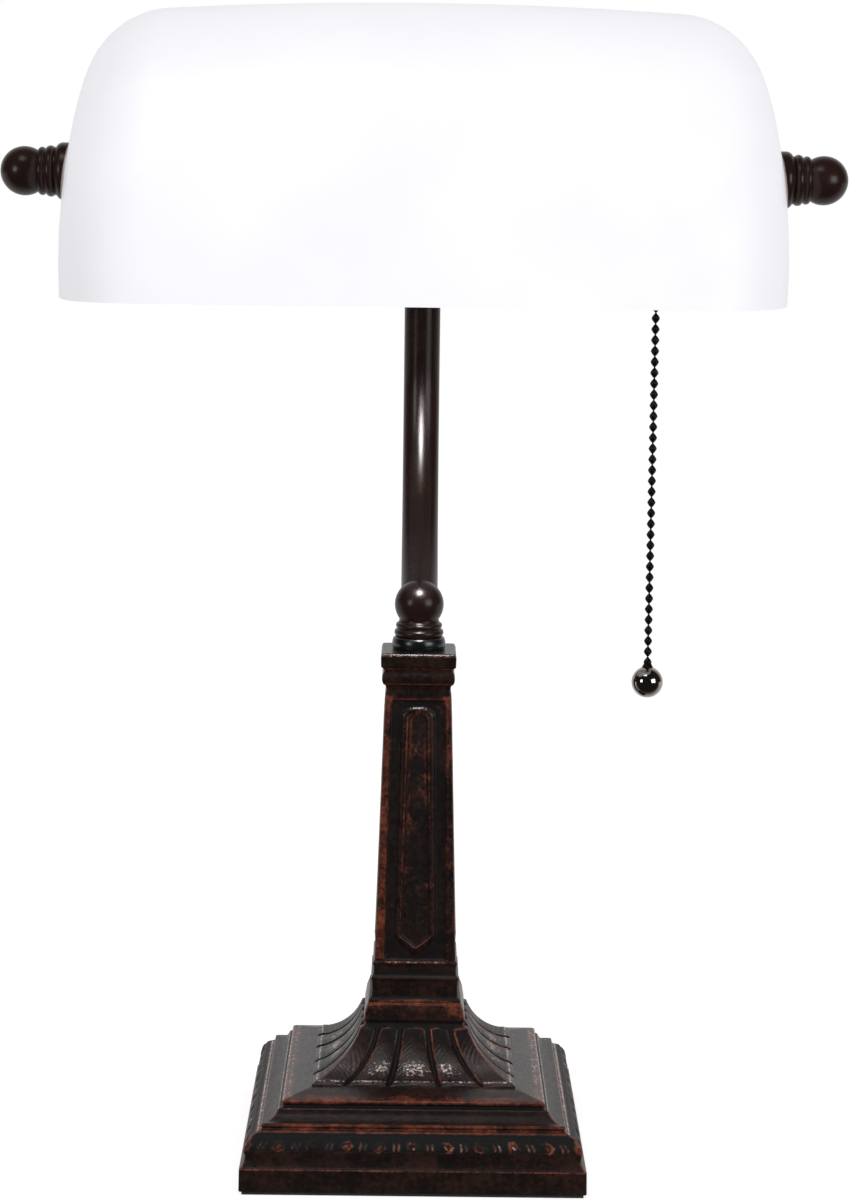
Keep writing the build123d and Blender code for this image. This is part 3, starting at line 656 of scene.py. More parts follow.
# Base and blot colour, blot size, gloss, metallic, specular, grain size and grain depth
FINISHES: Dict[Slot, Finish] = {
    Slot.ANTIQUE_BRONZE: AntiqueBronze(0x160D0B, 0x2E1A14, 14.0, (0.26, 0.4), 0.0, 0.36, 0.5,
                                       0.03),
    Slot.BRONZE_ENAMEL: Finish(0x251613, 0x2A1915, 12.0, (0.23, 0.29), 0.0, 0.24, 0.5, 0.004),
    Slot.BLACK_ENAMEL: Finish(0x0C1110, 0x111414, 8.0, (0.2, 0.28), 0.0, 0.5, 0.5, 0.004),
    Slot.OPAL_GLASS: OpalGlass(0xE2E2E8, 0xE8E8ED, 60.0, (0.36, 0.42), 0.0, 0.5, 5.0, 0.004),
    Slot.CLEAR_WASHER: Finish(0xCEBEBA, 0xD6C8C4, 4.0, (0.3, 0.4), 0.0, 0.5, 0.5, 0.004),
    Slot.BLACK_CHAIN: Finish(0x141212, 0x201D1C, 2.0, (0.22, 0.34), 0.6, 0.5, 0.4, 0.006),
    Slot.BLACK_NICKEL: Finish(0xA09993, 0xACA49C, 5.0, (0.05, 0.09), 1.0, 0.5, 0.5, 0.001),
    Slot.ZINC_STEEL: Finish(0x969692, 0xA8A6A0, 3.0, (0.3, 0.45), 1.0, 0.5, 0.5, 0.01),
    Slot.RAW_IRON: Finish(0x4A423C, 0x604C3E, 6.0, (0.55, 0.75), 0.6, 0.5, 0.8, 0.06),
    Slot.FELT: Felt(0x222C24, 0x2A352B, 3.0, (0.85, 0.95), 0.0, 0.3, 0.35, 0.12),
    Slot.BLACK_PLASTIC: Finish(0x1A1A1A, 0x202020, 4.0, (0.35, 0.5), 0.0, 0.5, 0.5, 0.01),
    Slot.LINER_BOARD: Finish(0xB09670, 0xA08662, 3.0, (0.75, 0.9), 0.0, 0.4, 0.4, 0.03),
    Slot.SOCKET_BRASS: Finish(0xC49E5C, 0xB68E4E, 8.0, (0.22, 0.36), 1.0, 0.5, 0.5, 0.004),
    Slot.BULB_WHITE: LitBulb(0xEEECE6, 0xF4F2EC, 20.0, (0.3, 0.36), 0.0, 0.5, 1.0, 0.003),
    Slot.BULB_METAL: Finish(0xB2B0AC, 0xC4C2BE, 3.0, (0.25, 0.4), 1.0, 0.5, 0.5, 0.006),
}


class Shelf:
    """Builds each finish once and hands it out."""

    def __init__(self) -> None:
        """Starts empty."""
        self.made: Dict[Slot, bpy.types.Material] = {}

    def dress(self, piece: bpy.types.Object, slot: Slot) -> None:
        """Gives a piece one finish in place of all it had."""
        if slot not in self.made:
            self.made[slot] = FINISHES[slot].build("finish_" + slot.value)
        piece.data.materials.clear()
        piece.data.materials.append(self.made[slot])

    def add(self, name: str, surfaces: Sequence[Surface], slot: Slot, body: str,
            *nodes: str) -> None:
        """Makes a new piece, finishes it and ties it to the frame.

        Args:
            name: Name of the piece.
            surfaces: The closed surfaces that make it up, in millimetres.
            slot: Its material slot.
            body: The body that it moves with.
            nodes: The frame's nodes that it stands for.
        """
        piece = make_piece(name, surfaces)
        self.dress(piece, slot)
        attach(piece, body)
        if nodes:
            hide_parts(*nodes)
        LOG.info("%s: %d faces on %s, for %s", name, len(piece.data.polygons), body,
                 ", ".join(nodes) or "-")

    def dress_frame(self) -> None:
        """Finishes the frame's own nodes that are still shown."""
        for name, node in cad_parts.items():
            if not node.hide_render:
                self.dress(node, Slot(node.data.materials[0].name.split(".")[0]))
                LOG.info("%s: dressed as it is", name)


def size_of(node: str) -> Tuple[np.ndarray, np.ndarray]:
    """Lowest and highest corner of a frame node in millimetres."""
    low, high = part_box(node)
    return np.array(low) / MM, np.array(high) / MM


# ---- Stand: base, foot and column

@dataclass(frozen=True)
class RubbedEdge:
    """A long edge of a casting where the lacquer is rubbed.

    Attributes:
        at: Half width and height of the edge on the outline.
        width: Half width of the rubbed strip, in millimetres.
        wear: How far it is rubbed, 0 to 1.
        bare_and_glint: How many pale specks it shows, partly as painted glints, 0 to 1.
    """

    at: Point
    width: float
    wear: float
    bare_and_glint: float


@dataclass
class Relief:
    """What a carving does to each point of a casting.

    Attributes:
        raised: How far the surface is raised along the outline's normal, in millimetres.
        wear: Where the lacquer is rubbed, 0 to 1.
        grime_and_shade: Where it is sooty and where shade is painted, 0 to 1.
        bare_and_glint: Where pale specks show, partly as painted glints, 0 to 1.
    """

    raised: np.ndarray
    wear: np.ndarray
    grime_and_shade: np.ndarray
    bare_and_glint: np.ndarray


@dataclass
class SquareCasting:
    """Casting of square plan: one outline carried round four mitred sides and then carved.

    Attributes:
        name: Name of the piece.
        node: The frame's node that it stands for.
        columns: Number of columns on each side.
        corner: Radius of the upright corners.
        corner_width: Half width of a corner's rubbed strip.
        corner_wear: Pairs of height and wear for the corners, joined by straight lines.
        edges: The rubbed long edges.
        flank_sheen: Painted sheen: how many times more specks the left and right faces' edges
            get.
        corner_columns: Number of columns in the zone beside each corner.
        corner_zone: Width of that zone in corner radii.
        strip_rows: Where rows are added round a rubbed edge, in its own half widths.
        row_gap: Least distance of an added row from the others.
    """

    name: str
    node: str
    columns: int
    corner: float
    corner_width: float
    corner_wear: Tuple[Point, ...]
    edges: Tuple[RubbedEdge, ...]
    flank_sheen: float = 1.0
    corner_columns: int = 7
    corner_zone: float = 2.2
    strip_rows: Tuple[float, ...] = (-2.4, -1.6, -1.0, -0.5, 0.5, 1.0, 1.6, 2.4)
    row_gap: float = 0.1

    def outline(self) -> np.ndarray:
        """Points of (half width, height) from the lower pole to the upper one."""
        raise NotImplementedError

    def carve(self, share: np.ndarray, half: np.ndarray, height: np.ndarray) -> Relief:
        """The relief at each point, which is none unless a casting has its own.

        Args:
            share: Place across a side, -1 to 1.
            half: Half width.
            height: Height.

        Returns:
            The relief.
        """
        return Relief(*[0 * (share + half + height)] * 4)

    def across(self, half: float) -> np.ndarray:
        """Places across a side, -1 to 1, even in the middle and closer at the corners."""
        zone = self.corner_zone * self.corner / half
        few = self.corner_columns
        middle = np.linspace(-1 + zone, 1 - zone, self.columns - 2 * few + 1)
        left = np.linspace(-1, -1 + zone, few, endpoint=False)
        right = np.linspace(1, 1 - zone, few, endpoint=False)[::-1]
        return np.concatenate([left, middle, right[:-1]])

    def edges_along(self, outline: np.ndarray) -> Tuple[np.ndarray, List[float]]:
        """Length of the outline up to each of its points, and up to each rubbed edge."""
        steps = np.linalg.norm(np.diff(outline, axis=0), axis=1)
        along = np.concatenate([[0.0], np.cumsum(steps)])
        nearest = [np.linalg.norm(outline - edge.at, axis=1).argmin() for edge in self.edges]
        return along, [along[row] for row in nearest]

    def with_rows_at_edges(self, outline: np.ndarray) -> np.ndarray:
        """The outline with rows at the borders of every strip, so that its colour ends there."""
        along, middles = self.edges_along(outline)
        strips = [middle + edge.width * np.array(self.strip_rows)
                  for edge, middle in zip(self.edges, middles)]
        rows = np.unique(np.clip(np.concatenate([along] + strips), 0, along[-1]))
        gap = np.abs(rows[:, None] - along[None, :]).min(axis=1)
        rows = rows[np.isin(rows, along) | (gap > self.row_gap)]
        return np.stack([np.interp(rows, along, axis) for axis in outline.T], axis=1)

    def edge_fields(self, outline: np.ndarray) -> List[np.ndarray]:
        """Wear and bareness of each row: the largest of the edges' bell curves."""
        along, middles = self.edges_along(outline)
        strips = [(edge, bump_at(along - middle, edge.width)[:, None])
                  for edge, middle in zip(self.edges, middles)]
        return [strongest(*(edge.wear * strip for edge, strip in strips)),
                strongest(*(edge.bare_and_glint * strip for edge, strip in strips))]

    def surface(self) -> Surface:
        """The carved casting.

        The carving moves a point along the outline's own normal. Across a side it keeps its
        share of the width, and within the corner radius it goes onto the quarter round.

        Returns:
            The surface with the fields wear, grime_and_shade and bare_and_glint, each 0 to 1.
        """
        outline = self.with_rows_at_edges(self.outline())
        half, height = outline[:, :1], outline[:, 1:]
        way = np.gradient(outline, axis=0)
        way /= np.linalg.norm(way, axis=1, keepdims=True)
        out, up = way[:, 1:], -way[:, :1]
        share = self.across(half.max())[None, :]
        relief = self.carve(share, half, height)
        raised = relief.raised * (half > 1)
        reach = half + self.carve(np.ones((1, 1)), half, height).raised * (half > 1) * out
        radius = np.minimum(self.corner, 0.3 * half)
        distance = (1 - np.abs(share)) * reach
        angle = radians(45) * np.clip(1 - distance / np.maximum(radius, SAME), 0, 1)
        rounded = np.sign(share) * (reach - radius * (1 - np.sin(angle)))
        beside = np.where(angle > 0, rounded, share * reach)
        ahead = half + raised * out - radius * (1 - np.cos(angle))
        level = height + raised * up
        turns = ((1, 0), (0, 1), (-1, 0), (0, -1))
        sides = [np.stack([c * beside + s * ahead, s * beside - c * ahead, level], axis=-1)
                 for c, s in turns]
        points = np.concatenate(sides, axis=1)
        points[[0, -1]] = points[[0, -1]].mean(axis=1, keepdims=True)
        edge_wear, edge_bare_and_glint = self.edge_fields(outline)
        heights, strengths = np.array(self.corner_wear).T
        corner_wear = np.interp(height, heights, strengths) * bump_at(distance, self.corner_width)
        wear = strongest(relief.wear, edge_wear, corner_wear)
        grime_and_shade = relief.grime_and_shade * (1 - wear)
        face = np.maximum(relief.bare_and_glint, edge_bare_and_glint)
        # The left and right faces get more pale specks on their edges: a painted sheen.
        flank = np.maximum(relief.bare_and_glint, self.flank_sheen * edge_bare_and_glint)
        pairs = {"wear": (wear, wear), "grime_and_shade": (grime_and_shade, grime_and_shade), "bare_and_glint": (face, flank)}
        fields = {}
        for name, pair in pairs.items():
            clipped = [np.clip(side + 0 * distance, 0, 1) for side in pair]
            fields[name] = np.concatenate(clipped * 2, axis=1)
        return Surface(points, fields)

    def build(self, shelf: Shelf) -> None:
        """Makes the piece."""
        shelf.add(self.name, [self.surface()], Slot.ANTIQUE_BRONZE, "stand", self.node)


@dataclass
class BaseSlab(SquareCasting):
    """Flat slab of the base and the cove above it.

    Attributes:
        half: Half width of the slab.
        top: Half width and height where the cove ends.
    """

    name: str = "base_slab"
    node: str = "base_casting"
    columns: int = 150
    corner: float = 0.55
    corner_width: float = 0.5
    corner_wear: Tuple[Point, ...] = ((0.0, 0.25), (7.5, 0.3), (8.3, 0.9), (10.5, 0.5),
                                      (13.2, 0.9))
    edges: Tuple[RubbedEdge, ...] = (RubbedEdge((52.92, 8.2), 0.34, 0.8, 0.2),)
    half: float = 53.12
    top: Point = (51.7, 13.2)

    def outline(self) -> np.ndarray:
        """Outline from the underside to the cove's end and in under the moulding."""
        half = self.half
        pen = Pen(0, 1.0).line(half - 0.5, 1.0).arc((half - 0.15, 1.15), (half, 1.5), 3)
        pen.line(half - 0.1, 7.6, 6).arc((half - 0.22, 8.2), (half - 0.6, 8.45), 4)
        pen.line(half - 0.7, 8.5).arc((51.4, 10.9), self.top, 10)
        return pen.line(0, self.top[1]).points()


@dataclass
class BaseMoulding(SquareCasting):
    """Egg band, ridge, fascia and plateau of the cast base.

    Attributes:
        bottom: Half width and height where the moulding stands on the cove.
        lip: Half width of the plateau's lip.
        foot_half: Half width where the foot stands.
        eggs: Number of eggs on a side, the two at its corners included.
        egg_height: Height of the eggs' middles.
        egg_size: Half width and half height of an egg's ring.
        rim_width: Half width of the ring's bell curve, as a share of the egg's size.
        bar_place: Distance of a bar from the middle between two eggs.
        bar_width: Half width of a bar's bell curve.
        raised: Height of the rings and domes, and of the bars.
        depth: Depth of the trough that the row lies in.
        band: Distances above and below the eggs' middles where the band begins and is full.
        trough_band: The same for the trough.
        darkened: Span of heights in which the band is sooty.
        shadow: Height and half width of the painted shade above the ridge.
        groove: Height and half width of the groove under the lip.
        lit: Where across the side the painted light grows towards the right, as more rubbing and
            specks.
    """

    name: str = "base_moulding"
    node: str = "base_casting"
    columns: int = 330
    corner: float = 0.55
    corner_width: float = 0.75
    corner_wear: Tuple[Point, ...] = ((13.2, 0.9), (15.0, 1.0), (18.5, 1.0), (22.0, 0.95),
                                      (24.0, 0.7), (26.0, 1.0), (27.0, 0.35), (27.95, 0.1))
    edges: Tuple[RubbedEdge, ...] = (
        RubbedEdge((47.6, 18.5), 0.75, 0.88, 0.5),
        RubbedEdge((46.6, 20.1), 0.8, 0.95, 0.42),
        RubbedEdge((41.4, 23.9), 0.3, 0.35, 0.55),
        RubbedEdge((40.3, 26.1), 1.1, 0.92, 0.45),
        RubbedEdge((38.6, 26.5), 2.0, 0.64, 0.4),
        RubbedEdge((46.7, 18.9), 1.3, 0.7, 0.42),
    )
    flank_sheen: float = 1.75
    bottom: Point = (51.7, 13.2)
    lip: float = 40.5
    foot_half: float = 31.6
    eggs: int = 11
    egg_height: float = 15.0
    egg_size: Point = (1.5, 1.35)
    rim_width: float = 0.36
    bar_place: float = 0.75
    bar_width: float = 0.3
    raised: Point = (0.3, 0.34)
    depth: float = 0.25
    band: Point = (2.4, 1.9)
    trough_band: Point = (2.7, 1.8)
    darkened: Span = (13.3, 14.0, 18.0, 20.9)
    shadow: Point = (21.6, 1.4)
    groove: Point = (24.4, 0.5)
    lit: Point = (-0.6, 0.35)

    def outline(self) -> np.ndarray:
        """Outline from the hidden middle below to the middle of the top."""
        lip, foot = self.lip, self.foot_half
        pen = Pen(0, self.bottom[1]).line(*self.bottom)
        pen.arc((51.1, 15.6), (49.9, 17.2), 17).arc((49.0, 17.9), (47.9, 18.35), 4)
        pen.soft(0.3, 2, (47.5, 18.75), (46.7, 18.8), (46.3, 19.3), (46.75, 19.9), (46.4, 20.7))
        pen.arc((43.1, 21.5), (41.7, 23.6), 8)
        pen.soft(0.3, 2, (41.3, 24.0), (40.3, 24.1), (40.2, 24.7), (lip + 0.05, 25.0),
                 (lip, 25.8))
        pen.soft(0.4, 3, (lip - 0.5, 26.15), (foot, 27.95))
        return pen.line(0, 27.95).points()

    def carve(self, share: np.ndarray, half: np.ndarray, height: np.ndarray) -> Relief:
        """Raises the egg band.

        An egg is a dome in a ring: the ring is a bell curve round the ellipse on which the
        scaled distance is 1. Two upright bars stand between neighbours, and an egg sits on each
        corner. The eggs' spacing is the side divided evenly. Waves along the side push each egg
        out of true, as in a worn mould, and each ring fades on one side of its own. The row
        lies in a shallow trough and the band above it is sooty. A painted shade lies just above
        the ridge, and as painted light the band is more rubbed and speckled towards the right.
        """
        pitch = 2 / (self.eggs - 1)
        number = np.round((share + 1) / pitch)
        beside = (share + 1 - number * pitch) * half
        above = height - self.egg_height
        wide, tall = self.egg_size
        bent = beside + 0.24 * np.sin(share * 41 + above * 1.9)
        pushed = above + 0.2 * np.sin(share * 57 + 1.3) + 0.14 * np.cos(beside * 4.1)
        ring = np.sqrt((bent / wide) ** 2 + (pushed / tall) ** 2)
        faded = 0.62 + 0.38 * np.sin(np.arctan2(pushed, bent) + number * 2.2 + 0.8)
        rim = bump_at(ring - 1, self.rim_width) * faded
        dome = ease(0.8, 0.2, ring)
        between = np.abs(np.abs(beside) - pitch * half / 2) - self.bar_place
        bars = bump_at(between, self.bar_width) * ease(1.5, 1.0, np.abs(above))
        bars = bars * (np.abs(beside) > wide * 1.3)
        band, trough = (ease(*zone, np.abs(above)) for zone in (self.band, self.trough_band))
        egg, bar = self.raised
        raised = np.maximum(egg * rim + egg * dome, bar * bars) * band - self.depth * trough
        # Painted light: rubbing and specks grow towards the right of each side.
        from_left = ease(*self.lit, share)
        strength = 0.88 + 0.2 * np.sin(number * 2.4 + 0.7)
        line_wear = (0.8 + 0.75 * from_left) * strength * np.maximum(rim, 0.9 * bars) * band
        dome_wear = (0.8 + 0.3 * from_left) * strength * dome * band
        clear = 1 - np.clip(np.maximum(rim + dome, bars), 0, 1) * band
        # The shadow term is a painted shade above the ridge, laid on with the sooty band.
        shadow, groove = (bump_at(height - at, width) for at, width in (self.shadow, self.groove))
        darkened = 0.85 * np.maximum(within(self.darkened, height) * clear, 0.3 * shadow)
        bare_and_glint = (0.5 + 0.28 * from_left) * strength * strongest(rim, dome, bars) * band
        return Relief(raised, np.maximum(line_wear, dome_wear), np.maximum(darkened, groove), bare_and_glint)


@dataclass
class LeafFoot(SquareCasting):
    """Hollow-curved foot with five leaf tongues on each side.

    Attributes:
        bottom: Half width and height where the curve starts.
        middle: A point on the curve.
        top: Where it ends under the ridge.
        splits: Places of the grooves, as shares of the half width.
        gap: Width of a groove.
        depth: Depth of a groove.
        foot: Height of the tongues' lower ends.
        spring: Height at which their arches start.
        arch: Height of the arches.
        vein_pitch: Distance between two veins.
        crown: Height of a tongue's middle above its sides.
        vein: Height of the veins.
        hammer: Height of the hammering.
        toe: Height of the bead along a tongue's lower end.
        low_end: Span of heights that the hammering and the specks cover.
        specks: Height and half width of the stretch where the specks are densest.
        scratched: Heights between which the scratches begin, and their pitch.
        shaded: Span of heights darkened with painted shade.
        rubbed: Heights between which the rubbing under the ridge begins.
    """

    name: str = "leaf_foot"
    node: str = "base_casting"
    columns: int = 226
    corner: float = 0.5
    corner_width: float = 0.5
    corner_wear: Tuple[Point, ...] = ((28.0, 0.3), (30.0, 0.8), (34.0, 0.95), (44.0, 0.85),
                                      (49.9, 1.0))
    edges: Tuple[RubbedEdge, ...] = (RubbedEdge((14.9, 49.5), 0.8, 1.0, 0.25),)
    bottom: Point = (31.5, 28.3)
    middle: Point = (21.3, 34.6)
    top: Point = (15.5, 47.6)
    splits: Point = (0.25, 0.67)
    gap: float = 1.0
    depth: float = 0.7
    foot: float = 28.5
    spring: float = 41.6
    arch: float = 1.6
    vein_pitch: float = 1.35
    crown: float = 0.32
    vein: float = 0.03
    hammer: float = 0.07
    toe: float = 0.22
    low_end: Span = (28.7, 29.3, 32.5, 39.0)
    specks: Point = (31.6, 3.4)
    scratched: Tuple[float, float, float] = (36.0, 38.5, 1.5)
    shaded: Span = (36.0, 41.5, 43.5, 46.0)
    rubbed: Point = (42.5, 47.5)

    def outline(self) -> np.ndarray:
        """Outline from the middle of the hidden underside to the middle of the top."""
        pen = Pen(0, 27.4).line(32.0, 27.4).line(*self.bottom, 2)
        pen.arc(self.middle, self.top, 80)
        pen.soft(0.3, 3, (15.15, 48.7), (14.95, 49.3), (14.65, 49.95))
        return pen.line(0, 49.95).points()

    def carve(self, share: np.ndarray, half: np.ndarray, height: np.ndarray) -> Relief:
        """Sinks the grooves between the tongues and raises the tongues.

        A tongue's own coordinate runs from -1 to 1 between its two grooves. Its top is an arch,
        and the distance to its nearest edge is the smaller of the ways to the groove's middle
        and to the arch. The surface falls smoothly to the groove's depth over that distance.
        Veins run in a herringbone about the tongue's middle and a fine hammering covers its
        lower end. The tongues' brinks are rubbed, and as painted light the outer tongues' left
        brinks more. Pale specks, partly painted glints, show on the lower ends and in slanting
        scratches, most on the middle tongues. A painted shade darkens the foot's upper part.
        """
        inner, outer = self.splits
        away = np.abs(share)
        low = np.select([away < inner, away < outer], [-inner, inner], outer)
        high = np.select([away < inner, away < outer], [inner, outer], 2 - outer)
        place = np.where(away < inner, share, away)
        centre, reach = (low + high) / 2, (high - low) / 2
        own = (place - centre) / reach
        to_side = (1 - np.abs(own)) * reach * half
        arch_top = self.spring + self.arch * np.sqrt(np.clip(1 - own ** 2, 0, 1))
        to_edge = np.minimum(to_side - 0.18 * self.gap, (arch_top - height) * 1.1)
        crest = self.spring + self.arch
        on_foot = ease(self.foot - 0.5, self.foot + 0.1, height)
        below = 1 - ease(crest + 0.7, crest + 1.5, height)
        groove = ease(0.75, 0.05, to_edge) * on_foot * below
        on_leaf = ease(0.3, 1.2, to_edge)
        across = np.abs(own) * reach * half
        veins = np.cos(2 * np.pi * (height * 1.1 + across * 0.9) / self.vein_pitch)
        veins = self.vein * veins * on_leaf * on_foot * ease(0.05, 0.2, np.abs(own))
        low_end = within(self.low_end, height) * on_leaf
        hammered = np.cos(across * 7.1 + height * 2.3) * np.cos(height * 9.7 - across * 3.1)
        toe = bump_at(height - self.foot - 0.3, 0.22) * on_leaf
        crown = self.crown * (1 - own ** 2) * on_leaf * on_foot
        raised = (crown + veins + self.hammer * hammered * low_end + self.toe * toe
                  - self.depth * groove)
        # Painted light: the outer tongues' left-facing brinks are drawn more rubbed.
        lit_side = 0.55 + 0.3 * np.sign(-share) * np.sign(own) * (away > inner)
        brink = bump_at(to_edge - 0.85, 0.5) * on_foot * below
        wear = np.maximum(brink * lit_side, 0.5 * ease(*self.rubbed, height))
        inward = ease(0.8, 0.3, away)
        # Pale specks where highlights fall low on the tongues: uncoated metal and painted glint.
        speckled = low_end * (0.62 + 0.38 * (1 - own ** 2)) * (0.5 + 0.32 * inward)
        speckled = speckled * bump_at(height - self.specks[0], self.specks[1])
        start, full, pitch = self.scratched
        scratches = np.cos(2 * np.pi * (height * 0.7 + place * half) / pitch)
        scratches = ease(0.7, 1.0, scratches * ease(start, full, height))
        scratches = 0.66 * scratches * on_leaf * on_foot * inward
        # Sooty grooves, and a painted shade over the shaded span.
        return Relief(raised, wear, np.maximum(groove, 0.4 * within(self.shaded, height)),
                      strongest(speckled, 0.9 * toe, scratches))


@dataclass(frozen=True)
class LongPanel:
    """Shape of a long panel with an arched top and a pointed bottom.

    Attributes:
        top_half: Half width at the spring.
        bottom_half: Half width at the shoulder.
        arch: Height of the arch's top.
        spring: Height at which the arch starts.
        shoulder: Height at which the point starts.
        point: Height of the point.
    """

    top_half: float
    bottom_half: float
    arch: float
    spring: float
    shoulder: float
    point: float

    def inside(self, beside: np.ndarray, height: np.ndarray) -> np.ndarray:
        """How far a point lies inside the panel.

        The half width goes evenly from the bottom to the top one, closes with a quarter ellipse
        above the spring and in a straight line to the point below the shoulder. The distance is
        the half width less the way from the middle, shortened on the slanting stretch.
        """
        tall = self.spring - self.shoulder
        share = np.clip((height - self.shoulder) / tall, 0, 1)
        straight = self.bottom_half + (self.top_half - self.bottom_half) * share
        above = np.clip((height - self.spring) / (self.arch - self.spring), 0, None)
        drop = self.shoulder - self.point
        below = np.clip((self.shoulder - height) / drop, 0, None)
        half = straight * np.sqrt(np.clip(1 - above ** 2, 0, 1)) - straight * below
        slant = np.where(below > 0, cos(np.arctan2(self.bottom_half, drop)), 1.0)
        return np.minimum((half - np.abs(beside)) * slant, (self.arch - height) * 1.2)


@dataclass
class Column(SquareCasting):
    """Tapering square column: bands, a shaft with a long panel on each side, and a capital.

    Attributes:
        shaft_bottom: Half width and height where the shaft starts.
        shaft_top: Half width and height where it ends.
        field_half: Half width of the sunk field at its top and bottom.
        field_z: Heights of the field's lower and upper edges.
        moulding: Shape of the raised moulding in the field.
        strip: Shape of the sunk strip inside the moulding.
        field_depth: Depth of the field.
        strip_depth: Depth of the strip.
        capital_half: Half width of the capital.
        top: Height of the top.
        shaft: Span of heights of the shaft's rubbed border.
        near_top: Heights between which the strip's edges grow more rubbed.
        brighten: Heights between which the bead line grows more rubbed.
        right_side: Heights between which the right border grows more rubbed.
        point_end: Heights between which the rubbing of the strip's point ends.
        crest: Heights between which the specks on the strip's crest begin.
        bow: Height of the lowest band's rubbed bow, and how far it rises in the middle.
        ledges: Height and half width of each sooty ledge.
    """

    name: str = "column_relief"
    node: str = "column_casting"
    columns: int = 104
    corner: float = 0.45
    corner_width: float = 0.35
    corner_wear: Tuple[Point, ...] = ((50.0, 0.35), (60.0, 0.45), (64.0, 0.7), (148.0, 0.6),
                                      (150.0, 0.25), (160.0, 0.3), (161.0, 0.5))
    edges: Tuple[RubbedEdge, ...] = (
        RubbedEdge((13.95, 57.4), 0.3, 0.3, 0.4),
        RubbedEdge((13.5, 55.6), 1.0, 0.35, 0.0),
        RubbedEdge((10.95, 151.3), 0.3, 0.95, 0.2),
        RubbedEdge((11.1, 156.2), 0.3, 0.9, 0.1),
        RubbedEdge((11.7, 160.3), 0.5, 0.85, 0.75),
    )
    shaft_bottom: Point = (12.75, 63.2)
    shaft_top: Point = (10.3, 148.0)
    field_half: Point = (8.5, 9.7)
    field_z: Point = (63.3, 146.2)
    moulding: LongPanel = LongPanel(5.3, 6.6, 144.0, 140.8, 70.6, 64.5)
    strip: LongPanel = LongPanel(2.7, 4.4, 142.0, 139.6, 71.2, 67.8)
    field_depth: float = 0.85
    strip_depth: float = 0.75
    capital_half: float = 11.7
    top: float = 160.98
    shaft: Span = (63.3, 63.8, 147.4, 148.2)
    near_top: Point = (98.0, 134.0)
    brighten: Point = (90.0, 140.0)
    right_side: Point = (118.0, 140.0)
    point_end: Point = (74.0, 71.5)
    crest: Point = (140.6, 141.8)
    bow: Point = (50.1, 0.9)
    ledges: Tuple[Point, Point] = ((51.3, 0.5), (59.5, 1.2))

    def outline(self) -> np.ndarray:
        """Outline from the middle of the hidden underside to the middle of the top."""
        cap, top = self.capital_half, self.top
        pen = Pen(0, 50.02).line(14.6, 50.02)
        pen.soft(0.35, 3, (14.55, 50.8), (13.65, 51.5), (13.5, 54.4), (13.55, 56.9),
                 (13.95, 57.4), (13.5, 58.1), (13.05, 58.6), (13.0, 61.4), (13.4, 62.1),
                 (13.25, 62.6), self.shaft_bottom)
        pen.line(12.66, 66.4, 10).line(12.44, 74.0, 20).line(10.6, 137.6, 36)
        pen.line(10.36, 146.0, 22).line(*self.shaft_top, 5)
        pen.soft(0.3, 3, (10.2, 148.6), (9.95, 149.4), (10.3, 150.7), (10.95, 151.2))
        pen.arc((11.4, 153.1), (10.85, 155.0), 7)
        pen.soft(0.3, 4, (10.7, 155.7), (11.1, 156.2), (cap, 156.7), (cap + 0.1, 159.8),
                 (11.5, 160.6), (11.1, 160.95))
        return pen.line(9.2, top, 3).line(0, top).points()

    def carve(self, share: np.ndarray, half: np.ndarray, height: np.ndarray) -> Relief:
        """Sinks the field, raises the moulding with its bead line in it and sinks the strip.

        Soot lies in the field and in the strip. The border is rubbed most along its left side,
        the strip's edges near their top, and pale specks, partly painted glints, show on the
        field's lower lip and the strip's crest. On the lowest band the lacquer is rubbed in a
        bow.
        """
        low, high = self.field_z
        narrow, wide = self.field_half
        beside = share * half
        up = np.clip((height - low) / (high - low), 0, 1)
        corner_cut = 0.7 * ease(high - 2.2, high + 0.6, height)
        to_side = wide + (narrow - wide) * up - corner_cut - np.abs(beside)
        to_field = np.minimum(to_side, np.minimum(height - low, high - height))
        in_field = ease(-0.25, 0.3, to_field)
        to_moulding = self.moulding.inside(beside, height)
        to_strip = self.strip.inside(beside, height)
        in_strip = ease(-0.2, 0.3, to_strip)
        raised = ease(-0.1, 0.55, to_moulding) * (1 - ease(-0.35, 0.15, to_strip))
        bead = bump_at(to_moulding - 1.25, 0.33) * (to_moulding > 0)
        rim = bump_at(to_strip + 0.55, 0.36) * (to_moulding > 0)
        floor = self.field_depth * (1 - raised) * (1 - in_strip) + self.strip_depth * in_strip
        crown = 0.12 * bump_at(beside, 0.9) * in_strip
        lip = bump_at(to_field + 0.45, 0.4) * ease(-1.2, -0.4, to_field)
        carved = (-floor + (0.2 * bead + 0.26 * rim) * raised + crown) * in_field + 0.16 * lip

